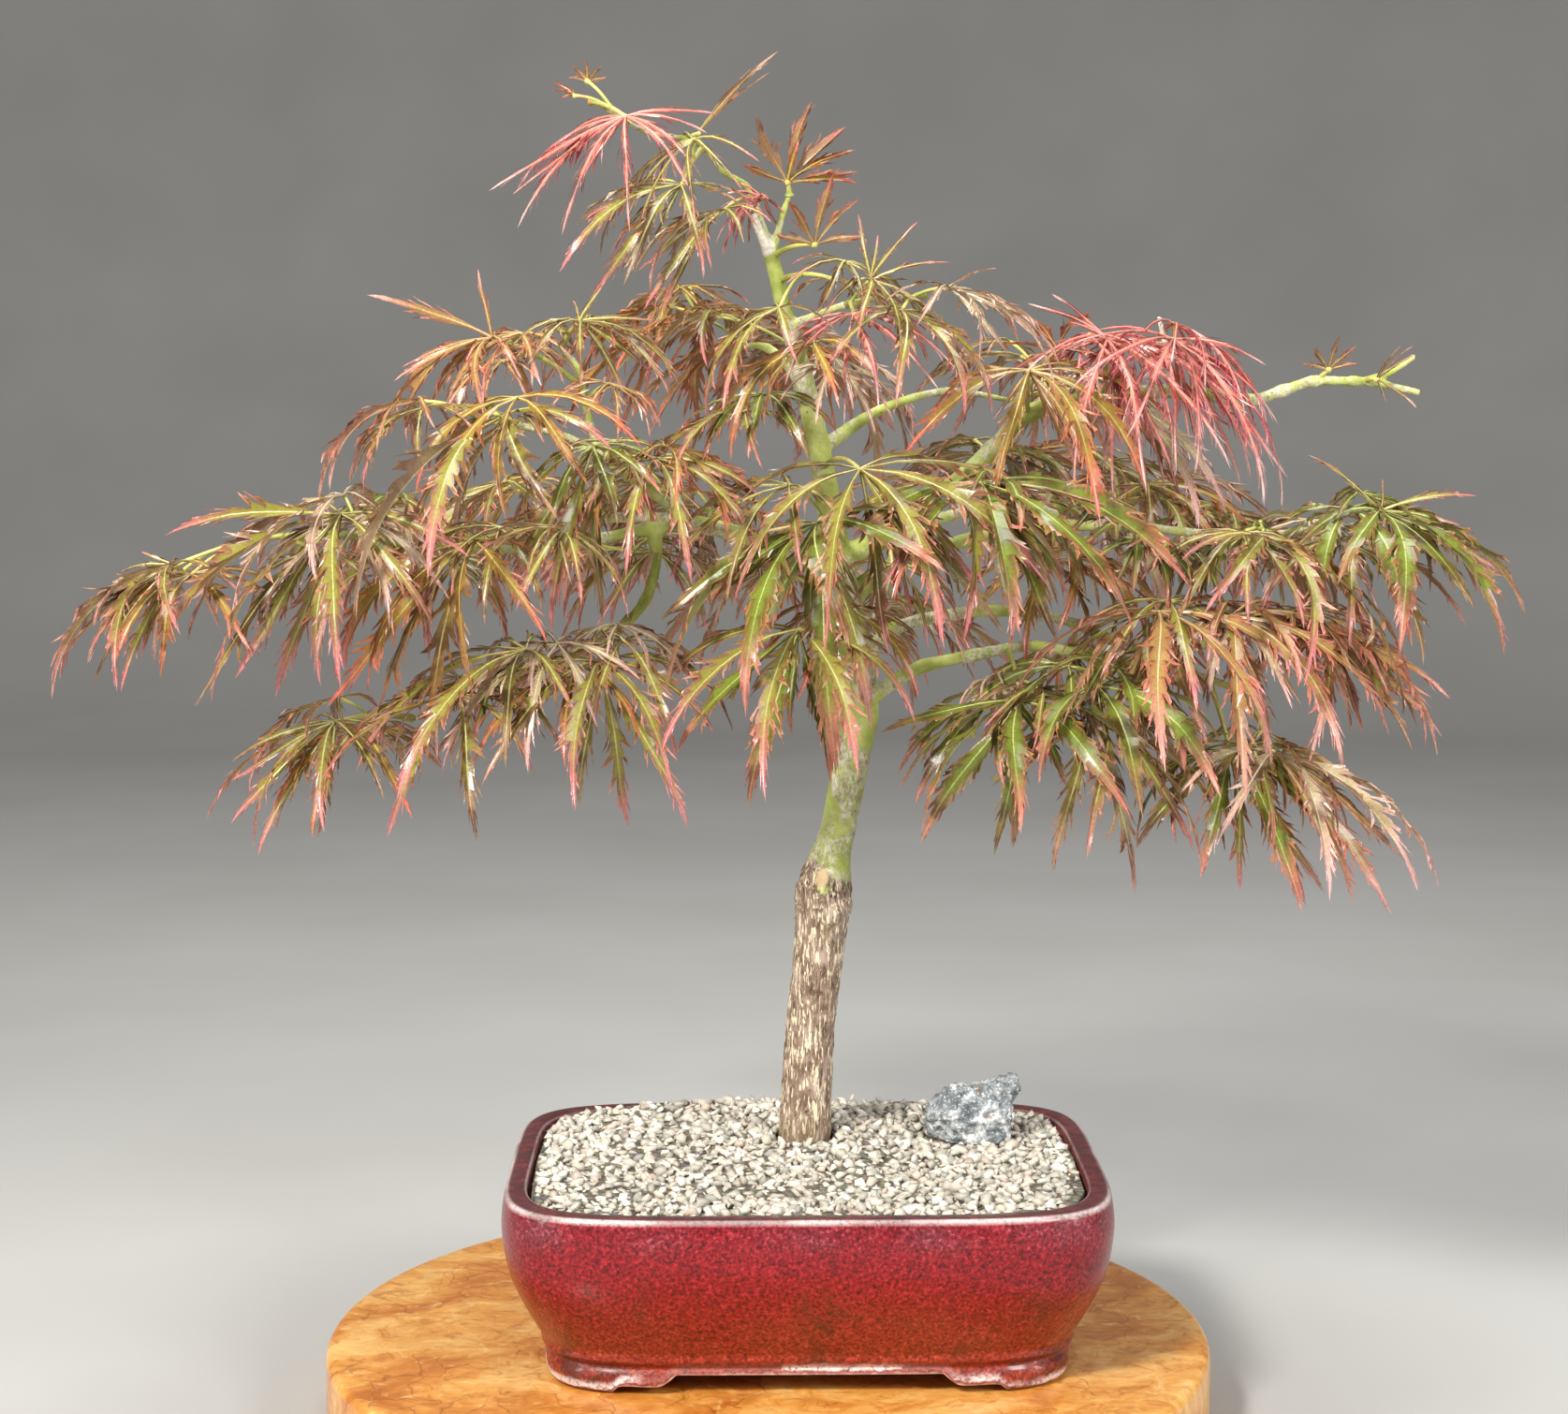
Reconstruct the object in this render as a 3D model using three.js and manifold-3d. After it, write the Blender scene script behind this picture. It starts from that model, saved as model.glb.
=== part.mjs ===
// Crimson queen Japanese maple grown as a bonsai, in a glazed pot on a round wooden board.
// Millimetres. +Z is up and +Y points away from the viewer.
// The origin is the centre of the board's flat underside.

import * as THREE from "three";
import { ConvexGeometry } from "three/addons/geometries/ConvexGeometry.js";
import { mergeVertices } from "three/addons/utils/BufferGeometryUtils.js";
import Module from "manifold-3d";

const wasm = await Module();
wasm.setup();

// Driving dimensions

const GAP = 0.3;
const BOARD = { diameter: 457, thickness: 38, edgeRound: 5, footRound: 2, sides: 44 };
const POT = {
  x: 19,
  y: -5,
  sides: 24,
  // How much shorter the half width is than the half length
  narrowing: 35,
  // Squareness of the rounded rectangle: 2 is an ellipse, and more is squarer
  squareness: 5.4,
  underside: 10.6,
  floor: 20,
  rim: 93,
  footRing: 15,
  drainHole: 20,
  drainSpread: 60,
};
// Heights above the board: the edge, a broad heap to the back and a mound round the trunk
const GRAVEL = {
  edge: 90.5,
  halfLength: 139.3,
  heap: 7,
  heapWidth: 125,
  mound: 5.5,
  moundWidth: 45,
  relief: 1,
};
const ROCK = { x: 108, y: 31, length: 53, bed: 93.2 };
const ROOT = { x: 19, y: 14, hole: 30.4 };
// A lobe's thickness at its rib, its rib's and hub's radius, and the space kept to other sprays
const BLADE = { thickness: 1.3, rib: 0.9, hub: 2.3, clearance: 0.45 };
// Radii of a twig's root, of its end at a leaf and of a petiole's root, and the length of a short twig
const TWIG = { root: 1.7, leaf: 0.85, petiole: 0.9, short: 36 };
// Where the second and third leaf of a spray leave its shoot
const BRANCHING = [0, 0.45, 0.6];

// Corners of the stone's body and of its leaning peak, from the middle of its bed
const ROCK_BODY = [
  [-22, 3, 0], [-11, -12, 0], [8, -17, 0], [20, -10, 0], [17, 10, 0], [-8, 15, 0],
  [-27, 2, 14], [-21, -10, 12], [-3, -18, 14], [19, -14, 15], [22, 8, 17], [-6, 17, 15], [-23, 11, 16],
  [-16, -6, 28], [-4, -9, 30], [11, -9, 29], [14, 5, 30], [-10, 8, 28],
];
const ROCK_PEAK = [
  [2, -10, 18], [20, -11, 12], [19, 9, 14], [0, 8, 19],
  [8, -7, 30], [22, -7, 33], [27, -1, 29], [24, 5, 35], [8, 5, 30],
];

// The pot's section as half length and height above the board, from the axis under its foot
const POT_WALL = [
  [0, 0],
  [129, 0],
  [132, 4],
  [132, 13],
  [134.5, 18],
  [141, 31],
  [149, 52],
  [153, 75],
  [152, 89],
  [150.5, POT.rim],
  [140.5, POT.rim],
  [138, 70],
  [130, 35],
  [118, POT.floor],
  [0, POT.floor],
];

// The trunk from its root end to its top: x, y, z and radius
const TRUNK = [
  [19, 14, 101, 14.8],
  [19, 14, 132, 13.9],
  [22, 16, 193, 12.8],
  [27, 16, 240, 13.3],
  [29, 17, 267, 14.6],
  [33, 17, 287, 10.4],
  [37, 16, 302, 9.2],
  [44, 14, 341, 9.6],
  [47, 12, 366, 10.2],
  [41, 10, 409, 8.6],
  [36, 10, 438, 7.4],
  [28, 10, 486, 6],
  [21, 10, 519, 5.6],
  [14, 8, 547, 4.8],
  [8, 6, 566, 4.3],
  [5, 6, 580, 4],
  [1, 6, 595, 3.7],
];

// Each limb: radius at its root and at its end, then the points it passes, root first
const LIMBS = {
  upper_right: [5.5, 2, [
    [37, 10, 437], [58, 14, 450], [82, 18, 466], [116, 22, 495], [135, 25, 514], [174, 28, 522],
    [213, 28, 525], [246, 26, 520], [265, 25, 525], [281, 25, 530], [302, 24, 530], [316, 24, 530],
  ]],
  upper_right_fork: [1.9, 1.7, [[309, 24, 530], [321, 24, 535], [333, 24, 543]]],
  upper_right_end: [1.9, 1.8, [[309, 24, 530], [323, 22, 527], [335, 20, 524]]],
  arch_upper: [3.8, 2, [
    [50, 10, 378], [55, 6, 395], [64, 4, 404], [79, 2, 409], [95, 0, 412], [114, -2, 414],
    [138, -4, 412], [157, -6, 407], [173, -8, 400], [195, -6, 396], [225, 0, 396], [254, 4, 400],
  ]],
  arch_lower: [4, 2, [
    [49, 8, 364], [55, 2, 371], [66, -4, 379], [78, -8, 386], [104, -12, 392], [132, -16, 397],
    [160, -20, 393], [185, -22, 389], [211, -24, 384], [235, -26, 376],
  ]],
  far_right: [4.2, 1.6, [
    [41, 14, 419], [68, 34, 437], [108, 44, 448], [152, 44, 455], [195, 36, 454], [238, 26, 451],
    [274, 14, 453], [301, 4, 457],
  ]],
  left: [4.6, 1.6, [
    [37, 8, 428], [24, 4, 437], [5, 0, 446], [-17, -6, 453], [-38, -10, 457], [-61, -14, 456],
    [-85, -18, 451], [-113, -22, 447], [-149, -30, 447], [-181, -36, 450], [-203, -40, 454],
  ]],
  left_rising: [3, 1.5, [
    [-38, -10, 457], [-54, -18, 472], [-71, -24, 484], [-84, -24, 496], [-90, -22, 514],
    [-94, -20, 535], [-103, -18, 546],
  ]],
  left_forward: [2.2, 1.5, [[-77, -24, 488], [-97, -34, 501], [-118, -42, 507], [-138, -46, 510]]],
  left_falling: [3, 1.6, [
    [-57, -14, 456], [-57, -10, 439], [-62, -8, 420], [-76, -12, 405], [-99, -18, 393],
    [-123, -22, 383], [-151, -24, 369], [-179, -20, 361],
  ]],
  top_left: [2, 1.2, [
    [2, 6, 592], [-4, 9, 611], [-10, 11, 627], [-23, 9, 635], [-35, 7, 649], [-61, 6, 654],
    [-80, 6, 665], [-89, 6, 669],
  ]],
  apex: [2, 1.4, [[2, 6, 592], [5, 8, 604], [8, 8, 615], [11, 8, 623]]],
  pruned_stub: [2.4, 2.1, [[1, 5, 592], [-3, 2, 602], [-8, 0, 613]]],
  crown_right: [2.3, 1.4, [[11, 8, 557], [23, 0, 562], [40, -8, 568], [58, -12, 571], [77, -14, 572]]],
  dry_stub: [1.8, 1.4, [[209, 28, 525], [205, 24, 545], [200, 20, 563]]],
  back_left: [4, 1.6, [
    [38, 11, 425], [10, 38, 442], [-30, 68, 455], [-75, 92, 458], [-120, 108, 450], [-160, 116, 440],
  ]],
  back_right: [4, 1.6, [[37, 10, 436], [70, 48, 452], [115, 80, 462], [165, 102, 462], [212, 112, 452]]],
  back_high: [3.2, 1.5, [[24, 10, 505], [15, 36, 532], [0, 64, 548], [-18, 88, 548]]],
  back_top_right: [3, 1.5, [[26, 10, 495], [58, 38, 515], [95, 62, 525], [132, 78, 520]]],
  back_low: [3.4, 1.6, [[46, 13, 372], [46, 46, 395], [34, 80, 405], [22, 108, 400]]],
};

// Leaf habits: lobe count, degrees between lobes, half width as a share of lobe length,
// the lobes' first rise and whole bend, and how far the leaf tilts down, all in degrees
const BROAD = { lobes: 7, spacing: 35, half: 0.056, lift: -12, bend: 72, pitch: 20 };
const HABITS = {
  bronze: { ...BROAD, color: "#9a6a3c" },
  green: { ...BROAD, half: 0.064, color: "#9a9a45" },
  orange: { ...BROAD, color: "#c8743c" },
  pale: { ...BROAD, color: "#c9a592" },
  pink: { lobes: 9, spacing: 27, half: 0.03, lift: -6, bend: 62, pitch: 30, color: "#cf5a5c" },
  young: { lobes: 5, spacing: 44, half: 0.075, lift: -6, bend: 30, pitch: -34, color: "#b4503c" },
  upright: { lobes: 5, spacing: 37, half: 0.07, lift: -4, bend: 28, pitch: -64, color: "#a8743c" },
  wisp: { lobes: 3, spacing: 26, half: 0.022, lift: 0, bend: 16, pitch: -48, color: "#c06a58" },
};

// Leafy sprays: name, limb, place along the limb counted in its points, and the leaves.
// A leaf is its hub's x, y and z, its longest lobe, its heading in plan and its habit.
const SPRAYS = [
  ["far_left", "left", 10, [[-291, -50, 440, 100, -155, "bronze"], [-220, -42, 445, 60, -110, "bronze"]]],
  ["left_fan", "left", 9.2, [
    [-205, -78, 466, 125, -135, "bronze"], [-185, -55, 467, 50, -60, "pale"],
    [-175, 5, 442, 95, -120, "bronze"],
  ]],
  ["left_outer", "left_forward", 3, [
    [-170, -58, 520, 75, 180, "pale"], [-128, -78, 512, 125, -150, "bronze"],
  ]],
  ["left_upper", "left_rising", 4.6, [
    [-136, -30, 551, 95, 180, "bronze"], [-130, -45, 539, 42, -140, "bronze"],
  ]],
  ["left_high", "left_rising", 6, [[-93, -30, 559, 68, -45, "bronze"], [-105, -22, 555, 45, 150, "pale"]]],
  ["left_nook", "left_rising", 4.2, [[-78, -45, 528, 42, -70, "pale"]]],
  ["left_middle", "left_rising", 2.4, [
    [-85, -62, 498, 68, -118, "green"], [-56, -50, 492, 88, -66, "bronze"],
  ]],
  ["left_inner", "left", 6.8, [
    [-100, -77, 458, 65, -70, "bronze"], [-142, -72, 453, 100, -140, "orange"],
    [-58, -2, 444, 85, -100, "bronze"],
  ]],
  ["low_left_far", "left_falling", 7, [
    [-215, -38, 362, 88, -135, "bronze"], [-207, -10, 353, 55, 130, "pale"],
  ]],
  ["low_left_outer", "left_falling", 5.4, [
    [-119, -55, 399, 110, -175, "bronze"], [-151, -60, 377, 88, -115, "bronze"],
  ]],
  ["low_left_inner", "left_falling", 2.6, [
    [-84, -52, 393, 108, -95, "bronze"], [-75, -45, 410, 48, -20, "pale"],
  ]],
  ["front_high", "trunk", 10.3, [[23, -65, 461, 118, -125, "green"], [10, -50, 479, 92, -165, "bronze"]]],
  ["front_low", "trunk", 9.2, [[14, -62, 409, 118, -110, "bronze"], [35, -45, 419, 68, -75, "orange"]]],
  ["front_right", "trunk", 11, [[44, -60, 487, 132, -65, "bronze"]]],
  ["under_fork", "upper_right", 1.1, [[62, -22, 439, 60, -60, "bronze"]]],
  ["right_broad", "upper_right", 2.6, [[103, -55, 480, 128, -50, "green"]]],
  ["upper_left_front", "trunk", 12.7, [
    [22, -50, 548, 80, -165, "orange"], [30, -38, 536, 52, -60, "pale"], [-12, -22, 514, 80, -160, "bronze"],
  ]],
  ["upper_middle", "crown_right", 2, [[41, -48, 562, 68, -75, "pink"], [50, -35, 579, 72, -20, "bronze"]]],
  ["upper_right_front", "crown_right", 4, [
    [64, -52, 563, 82, -55, "bronze"], [88, -40, 575, 78, -35, "pale"],
  ]],
  ["orange", "upper_right", 3.9, [[130, -18, 535, 108, -65, "orange"], [146, 0, 546, 52, 60, "young"]]],
  ["upper_left_back", "trunk", 15, [[32, -25, 580, 65, 20, "bronze"], [5, -42, 565, 82, -165, "bronze"]]],
  ["under_apex", "trunk", 15.8, [[23, -15, 597, 38, -70, "upright"]]],
  ["apex", "apex", 3, [[10, 5, 629, 47, -58, "upright"]]],
  ["top_left_low", "top_left", 1.6, [[-3, -6, 621, 38, 165, "pink"], [-23, -22, 613, 64, -145, "bronze"]]],
  ["top_left_middle", "top_left", 3.8, [
    [-43, -18, 626, 80, -115, "bronze"], [-37, -8, 649, 82, -160, "pink"],
  ]],
  ["top_left_wisp", "top_left", 4.2, [[-35, 14, 654, 57, 12, "wisp"]]],
  ["top_left_end", "top_left", 7, [
    [-71, -2, 661, 82, -125, "pink"], [-97, 6, 672, 14, 150, "young"], [-90, 7, 679, 14, -90, "upright"],
  ]],
  ["pink_left", "upper_right", 5, [[171, -2, 551, 102, -80, "pink"]]],
  ["pink_right", "upper_right", 6, [[204, -2, 551, 112, -50, "pink"]]],
  ["right_buds", "upper_right", 9.1, [[288, 22, 536, 22, -85, "upright"]]],
  ["right_ends", "upper_right", 10.4, [[311, 14, 531, 26, -30, "wisp"]]],
  ["far_right", "far_right", 7, [[308, -15, 465, 108, -45, "green"]]],
  ["right_upper", "far_right", 5.4, [
    [248, -8, 459, 68, 140, "green"], [246, -38, 451, 115, -40, "bronze"],
  ]],
  ["right_outer", "far_right", 6.2, [[286, -12, 450, 88, -50, "bronze"]]],
  ["right_inner", "far_right", 3.8, [
    [181, -12, 459, 65, -60, "green"], [199, -30, 450, 58, -35, "green"], [157, 8, 443, 85, -60, "orange"],
  ]],
  ["right_arch", "arch_upper", 9, [[191, -55, 417, 118, -95, "pale"]]],
  ["right_centre", "arch_upper", 10, [
    [227, -52, 415, 118, -60, "bronze"], [258, -28, 414, 75, -25, "orange"],
  ]],
  ["right_edge", "arch_upper", 11, [[280, -15, 406, 108, -50, "bronze"]]],
  ["low_right_near", "arch_lower", 4.6, [
    [123, -60, 374, 105, -100, "green"], [113, -42, 385, 34, 170, "pale"],
  ]],
  ["right_shade", "arch_upper", 7, [[158, 20, 394, 80, -170, "bronze"]]],
  ["low_right_middle", "arch_lower", 6, [
    [160, -62, 381, 100, -85, "green"], [188, -48, 397, 52, -80, "orange"],
  ]],
  ["low_right_hang", "arch_lower", 7, [[166, -50, 360, 102, -62, "bronze"]]],
  ["low_right_outer", "arch_lower", 8.4, [[229, -48, 345, 92, -75, "green"]]],
  ["low_right_pale", "arch_lower", 9, [[248, -62, 348, 118, -45, "pale"]]],
];

// Sprays on the far side of the crown, whose leaves are placed by a rule: limb and places along it
const BACK_SPRAYS = [
  ["back_left", [2, 3.6, 5]],
  ["back_right", [2, 3.2, 4]],
  ["back_high", [1.7, 3]],
  ["back_top_right", [3]],
  ["back_low", [2.6]],
];
const BACK_LEAF = { reach: 40, rise: 10, turn: 42, length: 92, lengthSpread: 26 };

// What a lobe may do to stay clear of other sprays: turn, extra drop, and share of its length
const LOBE_WAYS = [
  [0, 0, 1], [7, 0, 1], [-7, 0, 1], [0, 10, 1], [0, -10, 1], [8, 12, 0.95], [-8, 12, 0.95],
  [8, -14, 0.9], [-8, -14, 0.9], [0, 24, 0.85], [0, -24, 0.85], [12, 0, 0.75], [-12, 0, 0.75],
  [0, 30, 0.6], [0, -30, 0.6], [0, 0, 0.45], [0, 35, 0.45], [0, -35, 0.45], [0, 0, 0.25],
];
// What a stem's arch may do: sideways, away and upward shift as a share of its length
const STEM_WAYS = [
  [0, 0, 0], [0, 0, 0.2], [0, 0, -0.22], [0.22, 0, 0.05], [-0.22, 0, 0.05], [0, -0.22, 0.05],
  [0, 0.22, 0.05], [0.35, 0, 0.3], [-0.35, 0, 0.3], [0, -0.35, 0.3], [0, 0.35, 0.3], [0, -0.3, -0.3],
];

// Small helpers

const radians = (degrees) => (degrees * Math.PI) / 180;
const vector = (x, y, z) => new THREE.Vector3(x, y, z);
const UP = vector(0, 0, 1);

// A seeded draw of numbers from 0 up to 1
function draws(seed) {
  let state = seed >>> 0;
  const next = () => {
    state = (Math.imul(state, 1664525) + 1013904223) >>> 0;
    return state / 4294967296;
  };
  next();
  next();
  return next;
}

// A solid from a closed three.js geometry
function solidOf(geometry) {
  for (const name of ["normal", "uv"]) {
    geometry.deleteAttribute(name);
  }
  const merged = mergeVertices(geometry, 1e-4);
  return solidFrom(Array.from(merged.attributes.position.array), Array.from(merged.index.array));
}

// A solid from vertex numbers and triangles, turned so that its faces point out
function solidFrom(numbers, triangles) {
  let volume = 0;
  const corner = (index) => vector(numbers[3 * index], numbers[3 * index + 1], numbers[3 * index + 2]);
  for (let i = 0; i < triangles.length; i += 3) {
    const [a, b, c] = [0, 1, 2].map((k) => corner(triangles[i + k]));
    volume += a.dot(b.cross(c));
  }
  const outward = [];
  for (let i = 0; i < triangles.length; i += 3) {
    const [a, b, c] = [triangles[i], triangles[i + 1], triangles[i + 2]];
    outward.push(...(volume < 0 ? [a, c, b] : [a, b, c]));
  }
  const mesh = new wasm.Mesh({
    numProp: 3,
    vertProperties: new Float32Array(numbers),
    triVerts: new Uint32Array(outward),
  });
  return new wasm.Manifold(mesh);
}

// A closed skin over rings of points. A ring of one point is a tip, and any other end is capped.
function skin(rings) {
  const starts = [];
  let count = 0;
  for (const ring of rings) {
    starts.push(count);
    count += ring.length;
  }
  const triangles = [];
  for (let i = 0; i + 1 < rings.length; i += 1) {
    const [lower, upper] = [rings[i].length, rings[i + 1].length];
    const size = Math.max(lower, upper);
    const low = (k) => starts[i] + (lower === 1 ? 0 : k);
    const high = (k) => starts[i + 1] + (upper === 1 ? 0 : k);
    for (let k = 0; k < size; k += 1) {
      const next = (k + 1) % size;
      if (lower > 1) {
        triangles.push(low(k), low(next), high(next));
      }
      if (upper > 1) {
        triangles.push(low(k), high(next), high(k));
      }
    }
  }
  const last = rings.length - 1;
  for (let k = 1; k + 1 < rings[0].length; k += 1) {
    triangles.push(starts[0], starts[0] + k + 1, starts[0] + k);
  }
  for (let k = 1; k + 1 < rings[last].length; k += 1) {
    triangles.push(starts[last], starts[last] + k, starts[last] + k + 1);
  }
  return solidFrom(rings.flat().flatMap((point) => point.toArray()), triangles);
}

// A round stem through points, with a radius at each, its rings carried along without twist
function stem(points, radii, sides) {
  const tangents = points.map((point, i) => {
    const before = points[Math.max(i - 1, 0)];
    const after = points[Math.min(i + 1, points.length - 1)];
    return after.clone().sub(before).normalize();
  });
  const start = Math.abs(tangents[0].z) > 0.9 ? vector(1, 0, 0) : UP;
  let normal = start.clone().addScaledVector(tangents[0], -start.dot(tangents[0])).normalize();
  const rings = points.map((point, i) => {
    normal = normal.clone().addScaledVector(tangents[i], -normal.dot(tangents[i])).normalize();
    const side = tangents[i].clone().cross(normal);
    const ring = [];
    for (let k = 0; k < sides; k += 1) {
      const angle = (2 * Math.PI * k) / sides;
      const spoke = normal.clone().multiplyScalar(Math.cos(angle) * radii[i]);
      spoke.addScaledVector(side, Math.sin(angle) * radii[i]);
      ring.push(point.clone().add(spoke));
    }
    return ring;
  });
  return skin(rings);
}

const boxOf = (solid) => {
  const { min, max } = solid.boundingBox();
  return new THREE.Box3(vector(...min), vector(...max));
};

const joined = (solids) => solids.reduce((whole, piece) => whole.add(piece));

// The largest body of a solid, without loose scraps
function largestBody(solid) {
  const bodies = solid.decompose();
  return bodies.reduce((best, body) => (body.volume() > best.volume() ? body : best));
}

function meshOf(name, solid, color, roughness) {
  const { vertProperties, triVerts } = solid.getMesh();
  const geometry = new THREE.BufferGeometry();
  geometry.setAttribute("position", new THREE.BufferAttribute(new Float32Array(vertProperties), 3));
  geometry.setIndex(new THREE.BufferAttribute(new Uint32Array(triVerts), 1));
  geometry.computeVertexNormals();
  const material = new THREE.MeshStandardMaterial({ color, roughness, metalness: 0 });
  const mesh = new THREE.Mesh(geometry, material);
  mesh.name = name;
  return mesh;
}

// Board: a turned disc

function boardSolid() {
  const radius = BOARD.diameter / 2;
  const top = BOARD.thickness;
  const round = BOARD.edgeRound;
  const profile = [
    [0, 0],
    [radius - BOARD.footRound, 0],
    [radius, BOARD.footRound],
    [radius, top - round],
    [radius - round * (1 - Math.SQRT1_2), top - round * (1 - Math.SQRT1_2)],
    [radius - round, top],
    [0, top],
  ];
  const points = profile.map(([r, z]) => new THREE.Vector2(r, z));
  const geometry = new THREE.LatheGeometry(points, BOARD.sides);
  geometry.rotateX(Math.PI / 2);
  return solidOf(geometry);
}

// Pot: a turned profile drawn out to a rounded rectangle

// Where a point of the pot at a half length and a turn in radians lies in plan
function potPlan(halfLength, turn) {
  const power = 2 / POT.squareness;
  const halfWidth = Math.max(halfLength - POT.narrowing, halfLength / 2);
  const reach = (value) => Math.sign(value) * Math.abs(value) ** power;
  return [halfLength * reach(Math.cos(turn)), halfWidth * reach(Math.sin(turn))];
}

// Rings in the pot's plan, from rows of half length and height above the board
function potRings(profile) {
  return profile.map(([halfLength, height]) => {
    const ring = [];
    for (let k = 0; k < POT.sides; k += 1) {
      const [x, y] = potPlan(halfLength, (2 * Math.PI * k) / POT.sides);
      ring.push(vector(POT.x + x, POT.y + y, BOARD.thickness + GAP + height));
    }
    return halfLength === 0 ? [ring[0]] : ring;
  });
}

// The stepped outline between two feet, from half of its span to the middle, pushed through the pot
function cloudCut(halfSpan, turn) {
  const half = [
    [halfSpan, -1],
    [halfSpan - 3, 2.5],
    [halfSpan - 7, 4.5],
    [halfSpan - 23, 4.5],
    [halfSpan - 28, 6.5],
    [halfSpan - 33, POT.underside],
  ];
  const mirrored = half.map(([x, z]) => [-x, z]).reverse();
  const shape = new THREE.Shape([...half, ...mirrored].map(([x, z]) => new THREE.Vector2(x, z)));
  const depth = 400;
  const geometry = new THREE.ExtrudeGeometry(shape, { depth, bevelEnabled: false });
  geometry.translate(0, 0, -depth / 2);
  geometry.rotateX(Math.PI / 2);
  geometry.rotateZ(turn);
  geometry.translate(POT.x, POT.y, BOARD.thickness + GAP);
  return solidOf(geometry);
}

function drainHole(side) {
  const height = 30;
  const geometry = new THREE.CylinderGeometry(POT.drainHole / 2, POT.drainHole / 2, height, 16);
  geometry.rotateX(Math.PI / 2);
  geometry.translate(POT.x + side * POT.drainSpread, POT.y, BOARD.thickness + POT.underside);
  return solidOf(geometry);
}

function potSolid() {
  const body = skin(potRings(POT_WALL));
  const inner = POT_WALL[1][0] - POT.footRing;
  const recess = skin(potRings([[0, -1], [inner, -1], [inner, POT.underside], [0, POT.underside]]));
  const cuts = [recess, cloudCut(98, 0), cloudCut(66, Math.PI / 2), drainHole(-1), drainHole(1)];
  return body.subtract(joined(cuts));
}

// Gravel: one body that fills the pot, its stones as relief

function gravelTop(x, y) {
  const across = Math.exp(-(((x + 12) / GRAVEL.heapWidth) ** 2));
  const back = THREE.MathUtils.smoothstep(y, -95, 80);
  const fromTrunk = Math.hypot(POT.x + x - ROOT.x, POT.y + y - ROOT.y);
  const mound = GRAVEL.mound * Math.exp(-((fromTrunk / GRAVEL.moundWidth) ** 2));
  const stones = Math.sin(0.62 * x + 1.3) * Math.sin(0.71 * y) + Math.sin(0.37 * x - 0.43 * y);
  const relief = GRAVEL.relief * stones;
  const fromRock = Math.hypot(POT.x + x - ROCK.x, (POT.y + y - ROCK.y) * 1.35);
  const bed = THREE.MathUtils.smoothstep(fromRock, ROCK.length / 2 + 3, ROCK.length / 2 + 14);
  const open = GRAVEL.edge + GRAVEL.heap * across * back + mound + relief;
  return ROCK.bed - GAP + (open - ROCK.bed + GAP) * bed;
}

function gravelSolid() {
  const inside = POT_WALL.slice(-4, -1).reverse();
  const wall = inside.map(([halfLength, height]) => [halfLength - 2 * GAP, height + GAP]);
  const below = potRings([[0, POT.floor + GAP], ...wall, [GRAVEL.halfLength, GRAVEL.edge - 3]]);
  const shares = [0.996, 0.91, 0.81, 0.7, 0.58, 0.44, 0.26, 0];
  const surface = shares.map((share) => {
    const ring = [];
    for (let k = 0; k < POT.sides; k += 1) {
      const turn = (2 * Math.PI * k) / POT.sides;
      const [x, y] = potPlan(GRAVEL.halfLength, turn).map((value) => value * share);
      ring.push(vector(POT.x + x, POT.y + y, BOARD.thickness + gravelTop(x, y)));
    }
    return share === 0 ? [ring[0]] : ring;
  });
  const hole = new THREE.CylinderGeometry(ROOT.hole / 2, ROOT.hole / 2, 80, 24);
  hole.rotateX(Math.PI / 2);
  hole.translate(ROOT.x, ROOT.y, TRUNK[0][2] - GAP + 40);
  return skin([...below, ...surface]).subtract(solidOf(hole));
}

// Rock: an angular stone with its peak to the right, on a flat bed in the gravel

function hullSolid(corners) {
  const points = corners.map(([x, y, z]) => vector(ROCK.x + x, ROCK.y + y, BOARD.thickness + ROCK.bed + z));
  return solidOf(new ConvexGeometry(points));
}

function rockSolid() {
  return joined([hullSolid(ROCK_BODY), hullSolid(ROCK_PEAK)]);
}

// Trunk and limbs: one grown piece. Growth makes the same wood thicker all round.

function woodSolid(growth) {
  const trunkPoints = TRUNK.map(([x, y, z]) => vector(x, y, z));
  trunkPoints[trunkPoints.length - 1].z += growth;
  const pieces = [stem(trunkPoints, TRUNK.map((row) => row[3] + growth), 8)];
  for (const [rootRadius, endRadius, route] of Object.values(LIMBS)) {
    const points = route.map((row) => vector(...row));
    const last = points.length - 1;
    const onward = points[last].clone().sub(points[last - 1]).normalize();
    points[last].addScaledVector(onward, growth);
    const radii = points.map((point, i) => rootRadius + ((endRadius - rootRadius) * i) / last + growth);
    pieces.push(stem(points, radii, rootRadius > 2.5 ? 5 : 4));
  }
  return joined(pieces);
}

// The point on a limb's centre line, counted in the limb's points
function pointOn(limb, place) {
  const route = limb === "trunk" ? TRUNK : LIMBS[limb][2];
  const index = Math.min(Math.floor(place), route.length - 2);
  const from = vector(...route[index].slice(0, 3));
  const to = vector(...route[index + 1].slice(0, 3));
  return from.lerp(to, place - index);
}

// Leaves

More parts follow.
